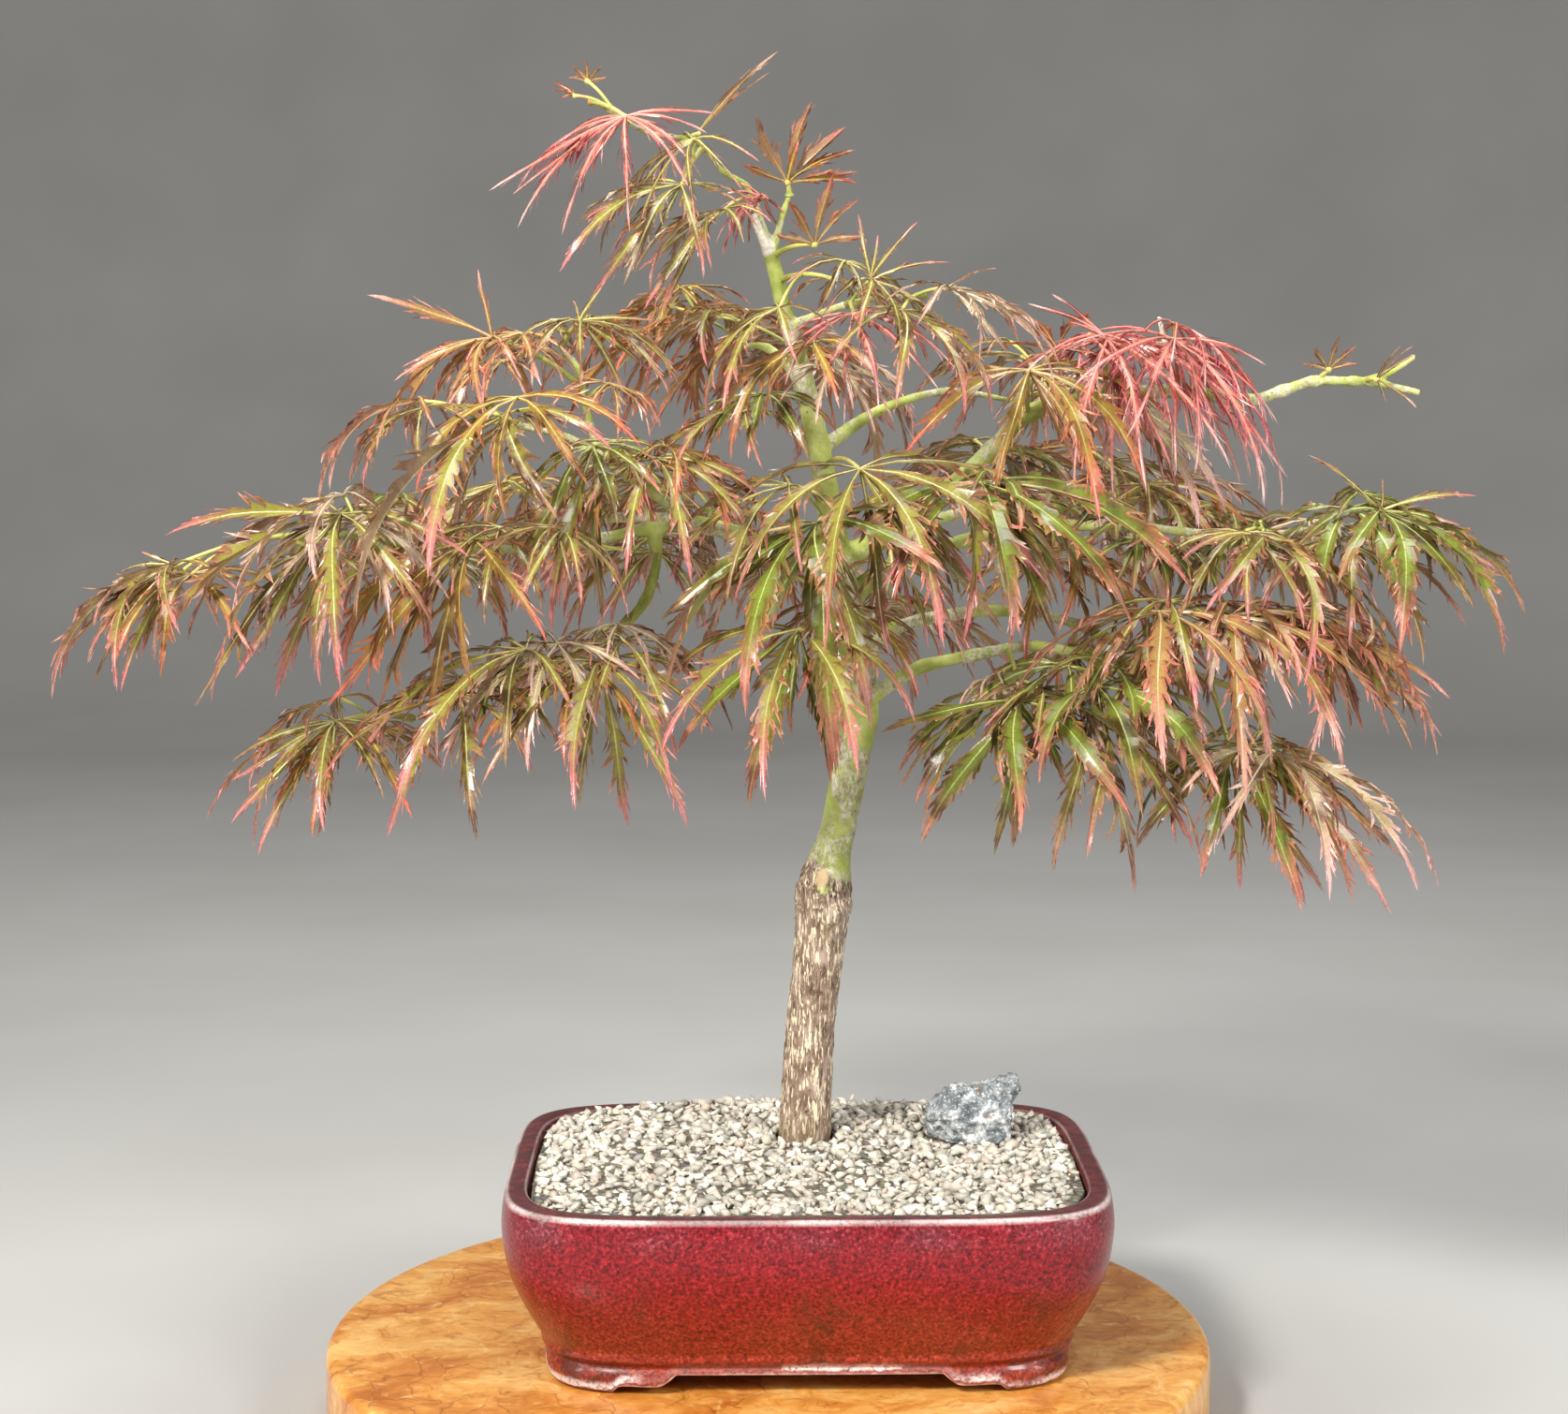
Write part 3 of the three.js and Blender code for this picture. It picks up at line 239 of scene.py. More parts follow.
# Sprays on the far side of the crown, whose leaves are placed by a rule: limb and places along it
BACK_SPRAYS = [
    ["back_left", [2, 3.6, 5]], ["back_right", [2, 3.2, 4]], ["back_high", [1.7, 3]],
    ["back_top_right", [3]], ["back_low", [2.6]],
]
BACK_LEAF = {"reach": 40, "rise": 10, "turn": 42, "length": 92, "spread": 26}

# What a lobe may have done to stay clear of other sprays: turn, extra drop, and share of its length
LOBE_WAYS = [
    [0, 0, 1], [7, 0, 1], [-7, 0, 1], [0, 10, 1], [0, -10, 1], [8, 12, 0.95], [-8, 12, 0.95],
    [8, -14, 0.9], [-8, -14, 0.9], [0, 24, 0.85], [0, -24, 0.85], [12, 0, 0.75], [-12, 0, 0.75],
    [0, 30, 0.6], [0, -30, 0.6], [0, 0, 0.45], [0, 35, 0.45], [0, -35, 0.45], [0, 0, 0.25],
]
# What a stem's arch may have done: sideways, away and upward shift as a share of its length
STEM_WAYS = [
    [0, 0, 0], [0, 0, 0.2], [0, 0, -0.22], [0.22, 0, 0.05], [-0.22, 0, 0.05], [0, -0.22, 0.05],
    [0, 0.22, 0.05], [0.35, 0, 0.3], [-0.35, 0, 0.3], [0, -0.35, 0.3], [0, 0.35, 0.3], [0, -0.3, -0.3],
]
# A solid lobe's sections by its least length: place along it, share of its width, lean of its sides
LOBE_SECTIONS = [
    (108, [[0.16, 0.26, 0], [0.4, 1, 0.03], [0.64, 0.66, -0.03]]),
    (47, [[0.18, 0.3, 0], [0.5, 1, 0.03]]),
    (0, [[0.45, 1, 0.03]]),
]

# How a lobe's outline runs: half width and notch depth along it, both as shares, then the lobules:
# length of rib to each, how far they lean forward, how they swell, and the blade's fold and waves
LEAFY = {
    "shares": [0, 0.1, 0.2, 0.32, 0.45, 0.58, 0.72, 0.86, 0.95, 1],
    "widths": [0.1, 0.12, 0.24, 0.62, 1, 1.04, 0.84, 0.5, 0.24, 0.04],
    "notches": [0.95, 0.9, 0.62, 0.34, 0.27, 0.24, 0.22, 0.22, 0.25, 0.3],
    "widen": 1.42, "rib_per_lobule": 12, "most": 9, "first": 0.17, "lean": 1.15, "swell": 1.3,
    "fold": (0.1, 1), "curl": 0.5, "wave": 0.42, "tooth": 0.14,
}
THREADY = {
    **LEAFY,
    "widths": [0.14, 0.16, 0.5, 0.95, 1, 0.9, 0.7, 0.45, 0.25, 0.04],
    "notches": [0.9, 0.6, 0.2, 0.1, 0.07, 0.07, 0.07, 0.1, 0.2, 0.3],
    "widen": 2.2, "rib_per_lobule": 9, "most": 11, "lean": 1.9, "swell": 2.0,
    "fold": (0, 0.6), "curl": 0.9, "wave": 0.35, "tooth": 0.04,
}
TOOTHED = {"notches": [0.95, 0.9, 0.7, 0.52, 0.46, 0.42, 0.36, 0.3, 0.28, 0.3], "swell": 0.95}
STYLES = {
    "pink": THREADY,
    "bud": {**LEAFY, "widen": 0.8, "most": 4},
    "green": {**LEAFY, **TOOTHED, "widen": 1.3, "lean": 1},
    "wisp": {**LEAFY, **TOOTHED, "widen": 2, "wave": 0.2, "rib_per_lobule": 17, "lean": 1.2},
    "young": {**LEAFY, **TOOTHED},
    "upright": {**LEAFY, **TOOTHED, "widen": 1.7, "rib_per_lobule": 10},
}

# More lobes than the solid leaves could carry: for a leaf of a spray, the lobes' habit, and where
# their tips lie, as x and z
MORE_LOBES = [
    ("left_upper", 0, "bronze", [(-196, 570), (-142, 585), (-182, 537), (-185, 528)]),
    ("left_high", 0, "bronze", [(-79, 579), (-96, 569), (-57, 559), (-56, 533), (-68, 519)]),
    ("upper_middle", 1, "bronze", [(43, 611), (73, 606), (54, 601), (89, 588)]),
    ("upper_right_front", 1, "pale", [(111, 584), (129, 552), (117, 540)]),
    ("far_right", 0, "bronze", [(271, 493), (308, 481), (358, 473), (387, 422), (381, 415), (349, 458)]),
    ("low_left_inner", 0, "bronze", [(-94, 320), (-70, 307), (-40, 312), (-119, 366)]),
    ("low_right_near", 0, "green", [(74, 302), (111, 299), (119, 301), (148, 330), (54, 355)]),
    ("low_right_outer", 0, "bronze", [(234, 276), (271, 268), (273, 277), (218, 301)]),
    ("low_right_pale", 0, "rosy", [(293, 272), (306, 271), (313, 294), (277, 291), (284, 330)]),
    ("far_left", 0, "bronze", [
        (-354, 389), (-331, 382), (-336, 396), (-314, 380), (-327, 418), (-318, 437), (-307, 446),
        (-305, 394)]),
    ("left_fan", 0, "bronze", [
        (-290, 457), (-276, 376), (-254, 387), (-239, 376), (-217, 382), (-212, 398)]),
    ("low_left_far", 0, "bronze", [
        (-267, 343), (-265, 334), (-264, 312), (-252, 296), (-226, 302), (-219, 320)]),
    ("apex", 0, "upright", [(-8, 651), (16, 650), (43, 645), (45, 629)]),
    ("top_left_end", 0, "pink", [
        (-136, 622), (-125, 621), (-94, 625), (-71, 631), (-24, 661), (-112, 631)]),
    ("top_left_middle", 0, "bronze", [(-80, 592), (-92, 607), (-88, 569), (-56, 597)]),
    ("top_left_low", 1, "bronze", [(-64, 583), (-61, 562), (-53, 561)]),
    ("top_left_low", 0, "pink", [(-21, 623), (-20, 607), (-14, 628), (-24, 616)]),
    ("front_low", 0, "green", [(-10, 322), (31, 335), (-47, 346), (10, 356)]),
    ("front_high", 0, "green", [
        (-55, 415), (-37, 417), (-29, 423), (-8, 395), (-13, 388), (20, 392), (29, 340)]),
    ("front_high", 0, "bronze", [(51, 363), (-20, 452), (46, 420)]),
    ("under_fork", 0, "bud", [(64, 419), (66, 423)]),
    ("front_right", 0, "bronze", [(93, 393), (113, 405), (71, 414), (104, 428), (85, 425), (58, 398)]),
    ("right_broad", 0, "green", [(150, 421), (141, 402), (139, 422)]),
    ("right_broad", 0, "bronze", [(173, 430), (164, 470), (120, 405)]),
    ("low_right_middle", 0, "bronze", [(140, 290), (176, 282), (205, 300)]),
    ("left_middle", 0, "bronze", [(-128, 420), (-104, 408), (-84, 412)]),
    ("left_inner", 1, "orange", [(-215, 372), (-196, 360), (-168, 358)]),
    ("pink_left", 0, "pink", [
        (143, 573), (130, 569), (192, 470), (172, 468), (202, 472), (206, 477), (151, 559), (180, 500),
        (186, 492)]),
    ("pink_right", 0, "pink", [
        (251, 538), (259, 508), (265, 481), (241, 476), (252, 483), (247, 478), (221, 485), (236, 532),
        (227, 496), (212, 500)]),
    ("orange", 0, "rosy", [(170, 469), (165, 470), (112, 510), (154, 486)]),
    ("right_ends", 0, "wisp", [(331, 516), (325, 540), (316, 519)]),
    ("right_centre", 0, "rosy", [(262, 372), (243, 340), (212, 372), (228, 350)]),
    ("right_edge", 0, "rosy", [(342, 372), (338, 352), (322, 346), (300, 352)]),
    ("right_arch", 0, "rosy", [(212, 352), (182, 340), (168, 360)]),
]
# Sprays in which a habit's leaves are coloured as another's
TINTS = {
    ("right_centre", "bronze"): "rosy", ("right_centre", "orange"): "rosy", ("right_arch", "pale"): "rosy",
    ("right_edge", "bronze"): "rosy", ("left_nook", "pale"): "rosy", ("top_left_middle", "pink"): "bronze",
    ("left_upper", "bronze"): "rosy", ("left_outer", "pale"): "rosy",
}
# Sprays whose leaves have no partners
ALONE = [
    "top_left_end", "top_left_middle", "top_left_low", "apex", "under_apex", "orange", "upper_right_front",
]


# Small helpers

def draws(seed):
    """The part's own seeded draw of numbers from 0 up to 1"""
    state = seed & 0xFFFFFFFF

    def following():
        nonlocal state
        state = (state * 1664525 + 1013904223) & 0xFFFFFFFF
        return state / 4294967296

    following()
    following()
    return following


def unit(vector):
    return vector / np.linalg.norm(vector)


def smooth_path(points, steps):
    """A Catmull-Rom curve through rows of numbers, with that many steps between two rows"""
    rows = np.array(points, float)
    rows = np.vstack([2 * rows[0] - rows[1], rows, 2 * rows[-1] - rows[-2]])
    out = []
    for a, b, c, d in zip(rows[:-3], rows[1:-2], rows[2:-1], rows[3:]):
        for t in np.arange(steps) / steps:
            out.append(0.5 * (2 * b + (c - a) * t + (2 * a - 5 * b + 4 * c - d) * t ** 2
                              + (3 * b - a - 3 * c + d) * t ** 3))
    out.append(rows[-2])
    return np.array(out)


def smoothstep(value, low, high):
    share = np.clip((value - low) / (high - low), 0, 1)
    return share * share * (3 - 2 * share)


def ring_turns(sides):
    return ROUND * np.arange(sides) / sides


def placed(name, data):
    """A new object in the scene"""
    piece = bpy.data.objects.new(name, data)
    bpy.context.scene.collection.objects.link(piece)
    return piece


def shade_smooth(mesh, sharp_angle=None):
    """Smooth shading, with edges left sharp above an angle in degrees"""
    mesh.polygons.foreach_set("use_smooth", np.ones(len(mesh.polygons), dtype=bool))
    if sharp_angle is not None:
        mesh.set_sharp_from_angle(angle=math.radians(sharp_angle))


def mesh_points(mesh):
    """A mesh's vertices as rows in millimetres"""
    numbers = np.empty(3 * len(mesh.vertices), dtype=np.float32)
    mesh.vertices.foreach_get("co", numbers)
    return numbers.reshape(-1, 3).astype(float) / MM


def set_points(mesh, points):
    mesh.vertices.foreach_set("co", (points * MM).astype(np.float32).ravel())
    mesh.update()


def set_values(mesh, name, values):
    """Values at a mesh's points, for its material to read"""
    layer = mesh.attributes.new(name, "FLOAT", "POINT")
    layer.data.foreach_set("value", np.asarray(values, dtype=np.float32))


class Pile:
    """Points, triangles and values at points, gathered for one mesh"""

    def __init__(self, *names):
        self.points = []
        self.triangles = []
        self.slots = []
        self.values = {name: [] for name in names}
        self.count = 0

    def add(self, points, triangles, slot=0, **values):
        self.points.append(points)
        self.triangles.append(np.asarray(triangles) + self.count)
        self.slots.append(np.broadcast_to(slot, len(triangles)))
        for name, gathered in self.values.items():
            gathered.append(np.broadcast_to(values.get(name, 0), len(points)))
        self.count += len(points)

    def build(self, name, materials, sharp_angle=None):
        points = np.concatenate(self.points) * MM
        triangles = np.concatenate(self.triangles)
        mesh = bpy.data.meshes.new(name)
        mesh.vertices.add(len(points))
        mesh.vertices.foreach_set("co", points.astype(np.float32).ravel())
        mesh.loops.add(triangles.size)
        mesh.loops.foreach_set("vertex_index", triangles.astype(np.int32).ravel())
        mesh.polygons.add(len(triangles))
        mesh.polygons.foreach_set("loop_start", np.arange(0, triangles.size, 3, dtype=np.int32))
        for material in materials:
            mesh.materials.append(material)
        mesh.polygons.foreach_set("material_index", np.concatenate(self.slots).astype(np.int32))
        mesh.update(calc_edges=True)
        for key, gathered in self.values.items():
            set_values(mesh, key, np.concatenate(gathered))
        mesh.validate()
        if sharp_angle is not None:
            shade_smooth(mesh, sharp_angle)
        return placed(name, mesh)


def apply_modifiers(piece):
    graph = bpy.context.evaluated_depsgraph_get()
    mesh = bpy.data.meshes.new_from_object(piece.evaluated_get(graph))
    piece.modifiers.clear()
    piece.data = mesh


def refined(piece, voxel, rounds):
    """The piece's mesh made again from voxels and smoothed, with its points and their normals"""
    remesh = piece.modifiers.new("voxels", "REMESH")
    remesh.mode = "VOXEL"
    remesh.voxel_size = voxel * MM
    smooth = piece.modifiers.new("smooth", "SMOOTH")
    smooth.factor = 0.5
    smooth.iterations = rounds
    apply_modifiers(piece)
    points = mesh_points(piece.data)
    normals = np.empty(points.size, dtype=np.float32)
    piece.data.vertex_normals.foreach_get("vector", normals)
    return piece.data, points, normals.reshape(-1, 3)


def settle(piece, slot, *nodes):
    """The piece rides on the one body and stands for CAD nodes, which it hides; the slot is not used"""
    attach(piece, "root")
    if nodes:
        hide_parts(*nodes)


# Materials

def colour(code):
    """A linear colour from a hex code"""
    channels = [int(code[i:i + 2], 16) / 255 for i in (1, 3, 5)]
    return tuple(c / 12.92 if c <= 0.04045 else ((c + 0.055) / 1.055) ** 2.4 for c in channels) + (1,)


class Finish:
    """A material's nodes, with a short call for each kind used here"""

    def __init__(self, name, roughness, specular=0.5, coat=()):
        self.material = bpy.data.materials.new(name)
        self.material.use_nodes = True
        self.tree = self.material.node_tree
        self.surface = self.tree.nodes["Principled BSDF"]
        self.put(self.surface, "Roughness", roughness)
        self.put(self.surface, "Specular IOR Level", specular)
        for socket, value in zip(("Coat Weight", "Coat Roughness"), coat):
            self.put(self.surface, socket, value)
        self.place = self.node("TexCoord")["Object"]

    def put(self, node, name, value):
        """Joins or sets an input, which has a name or a number"""
        socket = node.inputs[name]
        if isinstance(value, bpy.types.NodeSocket):
            self.tree.links.new(value, socket)
        else:
            socket.default_value = colour(value) if isinstance(value, str) else value

    def node(self, kind, inputs=None, **settings):
        """The outputs of a new node with those settings and inputs"""
        node = self.tree.nodes.new(f"ShaderNode{kind}")
        for name, value in settings.items():
            setattr(node, name, value)
        for name, value in (inputs or {}).items():
            self.put(node, name, value)
        return node.outputs

    def stretched(self, scale):
        return self.node("Mapping", {"Vector": self.place, "Scale": scale})["Vector"]

    def warped(self, scale, amount):
        """Places pushed about by noise, so that lines drawn on them wander"""
        wander = self.node("TexNoise", {"Vector": self.place, "Scale": scale})["Color"]
        inputs = {0: wander, 1: (amount, amount, amount), 2: self.place}
        return self.node("VectorMath", inputs, operation="MULTIPLY_ADD")["Vector"]

    def noise(self, scale, detail=4, roughness=0.5, distortion=0, vector=None):
        inputs = {"Vector": vector or self.place, "Scale": scale, "Detail": detail, "Roughness": roughness,
                  "Distortion": distortion}
        return self.node("TexNoise", inputs)["Fac"]

    def cells(self, scale, feature="F1", output="Distance", vector=None):
        inputs = {"Vector": vector or self.place, "Scale": scale}
        return self.node("TexVoronoi", inputs, feature=feature)[output]

    def value(self, name):
        return self.node("Attribute", attribute_name=name)["Fac"]

    def place_along(self, axis):
        return self.node("SeparateXYZ", {"Vector": self.place})[axis]

    def math(self, operation, *values):
        return self.node("Math", dict(enumerate(values)), operation=operation)["Value"]

    def span(self, value, low, high, start=0.0, end=1.0):
        """A value eased from one range to another"""
        inputs = {"Value": value, "From Min": low, "From Max": high, "To Min": start, "To Max": end}
        return self.node("MapRange", inputs, interpolation_type="SMOOTHSTEP")["Result"]

    def ramp(self, value, *stops):
        node = self.tree.nodes.new("ShaderNodeValToRGB")
        self.put(node, "Fac", value)
        elements = node.color_ramp.elements
        while len(elements) < len(stops):
            elements.new(0.5)
        for element, (position, code) in zip(elements, stops):
            element.position = position
            element.color = colour(code)
        return node.outputs["Color"]

    def mix(self, factor, first, second, blend="MIX"):
        """Two colours mixed: a colour mix has its colours as inputs 6 and 7 and its result as output 2"""
        return self.node("Mix", {0: factor, 6: first, 7: second}, data_type="RGBA", blend_type=blend)[2]

    def paint(self, value):
        self.put(self.surface, "Base Color", value)
        return self

    def rough(self, value):
        self.put(self.surface, "Roughness", value)

    def bump(self, height, strength, depth):
        inputs = {"Height": height, "Strength": strength, "Distance": depth * MM}
        self.put(self.surface, "Normal", self.node("Bump", inputs)["Normal"])
        return self

    def shine_through(self, share, tint):
        """Light passes through the thin blade"""
        glow = self.node("BsdfTranslucent", {"Color": tint})["BSDF"]
        both = self.node("MixShader", {0: share, 1: self.surface.outputs["BSDF"], 2: glow})["Shader"]
        self.put(self.tree.nodes["Material Output"], "Surface", both)
        return self


# Leaf colours by habit: by the rib, in the blade, along the margin, at the tip, the rib itself, and what
# some of the lobes turn to. The rib colours are partly the ribs' own and partly painted highlight, and so
# is the pink habit's near-white tip
LEAF_COLOURS = {
    "bronze": ["#a8a448", "#a07a48", "#e0967c", "#e48a90", "#f8f2b4", "#90903e"],
    "green": ["#8a9c38", "#827a38", "#cc8a5c", "#e08a7a", "#f4f2a8", "#74842e"],
    "orange": ["#b49a44", "#ba8044", "#e68a60", "#ea7c6c", "#f6e49c", "#a08c40"],
    "bud": ["#c02030", "#cc1c30", "#e02840", "#ee3448", "#e86058", "#b81c2c"],
    "pale": ["#c8bc8a", "#d6b496", "#f6d0c2", "#f6c0bc", "#fcf4dc", "#bca088"],
    "pink": ["#e49278", "#cc4058", "#ee7c8c", "#fddcd8", "#fbbcb0", "#f09a88"],
    "rosy": ["#bc9c58", "#c47e5c", "#ee9078", "#f4b4ac", "#f8e0b0", "#a48c50"],
    "young": ["#8c5a28", "#aa462a", "#d0563a", "#de6a54", "#d8a050", "#8c5030"],
    "upright": ["#a8943a", "#b86430", "#e0683e", "#e06464", "#ecd47c", "#a0803c"],
    "wisp": ["#9a8a46", "#a87450", "#d88874", "#eebeb2", "#dcc888", "#8a7a48"],
}
# What a leaf's partner may look like, by the leaf's own habit
PARTNER_HABITS = {
    "bronze": ["bronze", "bronze", "green", "orange", "pale"],
    "green": ["green", "bronze", "green"],
    "orange": ["orange", "bronze"],
    "pale": ["pale", "bronze"],
    "young": ["young", "bronze"],
    "upright": ["bronze", "pink"],
    "pink": ["pink"],
}
# How partners differ from their leaf, from and to: turn in degrees, share of length, hub's shift back,
# beside and up, and where their stem leaves the leaf's. Then the lengths of leaf from which there is one and
# two, and how far from the trunk's middle a front leaf has to be.
PARTNER = {
    "turn": (28, 62), "length": (0.62, 0.9), "back": (2, 15), "beside": (3, 12), "rise": (-9, 8),
    "root": (0.55, 0.8), "least": 30, "pair_over": 84, "clear_of_trunk": 34,
}
# What the undersides of a habit's leaves turn to
UNDERSIDE = {"pink": "#e09a94", "rosy": "#e0a490", "orange": "#dca884", "green": "#bcb080"}
# The record's slot for a spray, where it isn't named after its first leaf's habit
SLOT_HABITS = {"upright": "young"}


@functools.cache
def leaf_finish(habit, under):
    inner, blade, margin, tip, rib, other = LEAF_COLOURS[habit]
    roughness, coat = (0.44, 0.1) if under else (0.3, 0.3)
    skin = Finish(f"leaf_{habit}_{'under' if under else 'top'}", roughness, coat=(coat, 0.22))
    rim, along, side, tone = (skin.value(name) for name in ("rim", "along", "side", "tone"))
    fine = skin.noise(700, 3, 0.6)
    spread = skin.math("MULTIPLY_ADD", skin.noise(85, 3), 0.6, rim)
    spread = skin.math("MULTIPLY_ADD", tone, 0.3, spread)
    spread = skin.math("MULTIPLY_ADD", along, 0.55, spread)
    body = skin.ramp(skin.span(spread, 0.5, 2.1), (0.12, inner), (0.36, blade), (0.52, blade), (0.8, margin))
    # Towards the tip; the pink habit's near-white tip is partly a painted highlight
    body = skin.mix(skin.span(along, 0.6, 0.95), body, tip)
    body = skin.mix(skin.span(tone, 0.5, 0.95, 0, 0.6), body, other)
    # Painted shadow: cloudy patches, deeper on some lobes, are darkened to stand in for the shadows among the
    # leaves
    clouds = skin.span(skin.noise(48, 3, 0.5), 0.46, 0.66)
    painted_shade = skin.math("MULTIPLY", clouds, skin.span(tone, 0.1, 0.9, 0.2, 0.9))
    body = skin.mix(painted_shade, body, "#86603c", "MULTIPLY")
    # A pale strip along the rib, fading towards the tip: partly the rib's own colour, partly a painted
    # highlight
    middle = skin.span(skin.math("MULTIPLY_ADD", fine, 0.3, side), 0.34, 0.66, 0.9, 0)
    body = skin.mix(skin.math("MULTIPLY", middle, skin.span(along, 0.2, 0.9, 1, 0.15)), body, rib)
    if under:
        body = skin.mix(0.45, body, UNDERSIDE.get(habit, "#d0a890"))
    body = skin.mix(skin.span(fine, 0.3, 0.7, 0, 0.3), body, "#a07a50", "MULTIPLY")
    skin.paint(body).bump(skin.noise(420, 4, 0.6), 0.5, 0.4)
    return skin.shine_through(0.36, body).material


@functools.cache
def stem_finish():
    skin = Finish("petiole", 0.45)
    streaks = skin.noise(160, 3)
    body = skin.ramp(skin.value("along"), (0, "#8d9a48"), (0.5, "#b3b45c"), (1, "#d2cc7a"))
    body = skin.mix(skin.span(streaks, 0.5, 0.75, 0, 0.6), body, "#b4654a")
    return skin.paint(body).bump(streaks, 0.3, 0.2).material


# Leaves

def planned_leaf(row, seed):
    """A leaf's lobes and the three directions of its plane, drawn as in the part"""
    x, y, z, length, heading, name = row
    habit = HABITS[name]
    draw = draws(seed)
    turn = math.radians(heading)
    pitch = math.radians(habit["pitch"] + 16 * (draw() - 0.5))
    roll = math.radians(24 * (draw() - 0.5))
    ahead = math.cos(pitch)
    middle = np.array([math.cos(turn) * ahead, math.sin(turn) * ahead, -math.sin(pitch)])
    level = np.array([-math.sin(turn), math.cos(turn), 0])
    side = level * math.cos(roll) + np.cross(middle, level) * math.sin(roll)
    lobes = []
    for i in range(habit["lobes"]):
        place = (i - (habit["lobes"] - 1) / 2) * habit["spacing"]
        share = 0.3 + 0.7 * math.cos(math.radians(place) / 2) ** 2
        lobes.append({
            "angle": place + 9 * (draw() - 0.5),
            "length": length * share * (0.88 + 0.2 * draw()),
            "bend": habit["bend"] + 26 * (draw() - 0.5),
            "lift": habit["lift"],
            "half": habit["half"],
        })
    hub = np.array([x, y, z], float)
    return {"hub": hub, "habit": name, "middle": middle, "side": side, "normal": np.cross(middle, side),
            "lobes": lobes, "seed": seed}


def bent_lobe(lobe, way):
    turn, drop, share = way
    return {
        **lobe, "angle": lobe["angle"] + turn, "lift": lobe["lift"] + drop, "length": lobe["length"] * share,
    }


def lobe_frame(leaf, lobe, share):
    """Points on a lobe's rib, its level side direction and its upward directions"""
    angle, bend, lift = (math.radians(lobe[key]) for key in ("angle", "bend", "lift"))
    outward = leaf["middle"] * math.cos(angle) + leaf["side"] * math.sin(angle)
    slope = (lift + bend * np.asarray(share, float))[:, None]
    reach = lobe["length"] * (np.sin(slope) - math.sin(lift)) / bend
    drop = lobe["length"] * (math.cos(lift) - np.cos(slope)) / bend
    points = leaf["hub"] + outward * reach - leaf["normal"] * drop
    up = outward * np.sin(slope) + leaf["normal"] * np.cos(slope)
    return points, np.cross(leaf["normal"], outward), up


def lobe_marks(leaf, lobe):
    """Points of the solid lobe, to find the way it took in the part"""
    length = lobe["length"]
    sections = next(rows for least, rows in LOBE_SECTIONS if length >= least)
    share, width, lean = np.array(sections).T
    half = np.maximum(width * lobe["half"] * length, 0.9)[:, None]
    left, across, _ = lobe_frame(leaf, lobe, share + lean)
    right = lobe_frame(leaf, lobe, share - lean)[0]
    tip = lobe_frame(leaf, lobe, [1])[0]
    return np.vstack([left + across * half, right - across * half, tip])


def bezier(curve, share):
    share = np.asarray(share, float)[:, None]
    start, middle, end = curve
    return start * (1 - share) ** 2 + 2 * middle * share * (1 - share) + end * share ** 2


def stem_end(leaf):
    return leaf["hub"] - leaf["normal"] * TWIG["below_hub"]


def arched_stem(start, end, way):
    length = np.linalg.norm(end - start)
    shift = np.array([way[0], way[1], way[2] + TWIG["rise"]]) * length
    return start, (start + end) / 2 + shift, end


def stem_marks(leaf, curve, root_radius):
    """Corners of the solid stem's sections, to find the way it took in the part"""
    start, middle, end = curve
    steps = 3 if np.linalg.norm(end - start) > TWIG["short"] else 2
    up = leaf["normal"]
    marks = []
    for i in range(steps, -1, -1):
        share = i / steps
        toward_root = -unit(2 * (1 - share) * (middle - start) + 2 * share * (end - middle))
        up = unit(up - toward_root * up.dot(toward_root))
        across = np.cross(up, toward_root)
        radius = root_radius + (TWIG["leaf"] - root_radius) * share
        for k in range(3 if i < steps else 0):
            angle = ROUND * (1 / 12 + k / 3)
            corner = across * math.cos(angle) + up * math.sin(angle)
            marks.append(bezier(curve, [share])[0] + corner * radius)
    return np.array(marks)


def taken_way(ways, marks_for, solid):
    """The way whose points lie on the solid's own vertices, to within a small distance"""
    near = 0.06
    best, most = ways[0], 0
    for way in ways:
        marks = marks_for(way)
        distance = np.linalg.norm(marks[:, None] - solid[None], axis=2).min(axis=1)
        found = (distance < near).sum()
        if found > most:
            best, most = way, found
        if found == len(marks):
            break
    return best


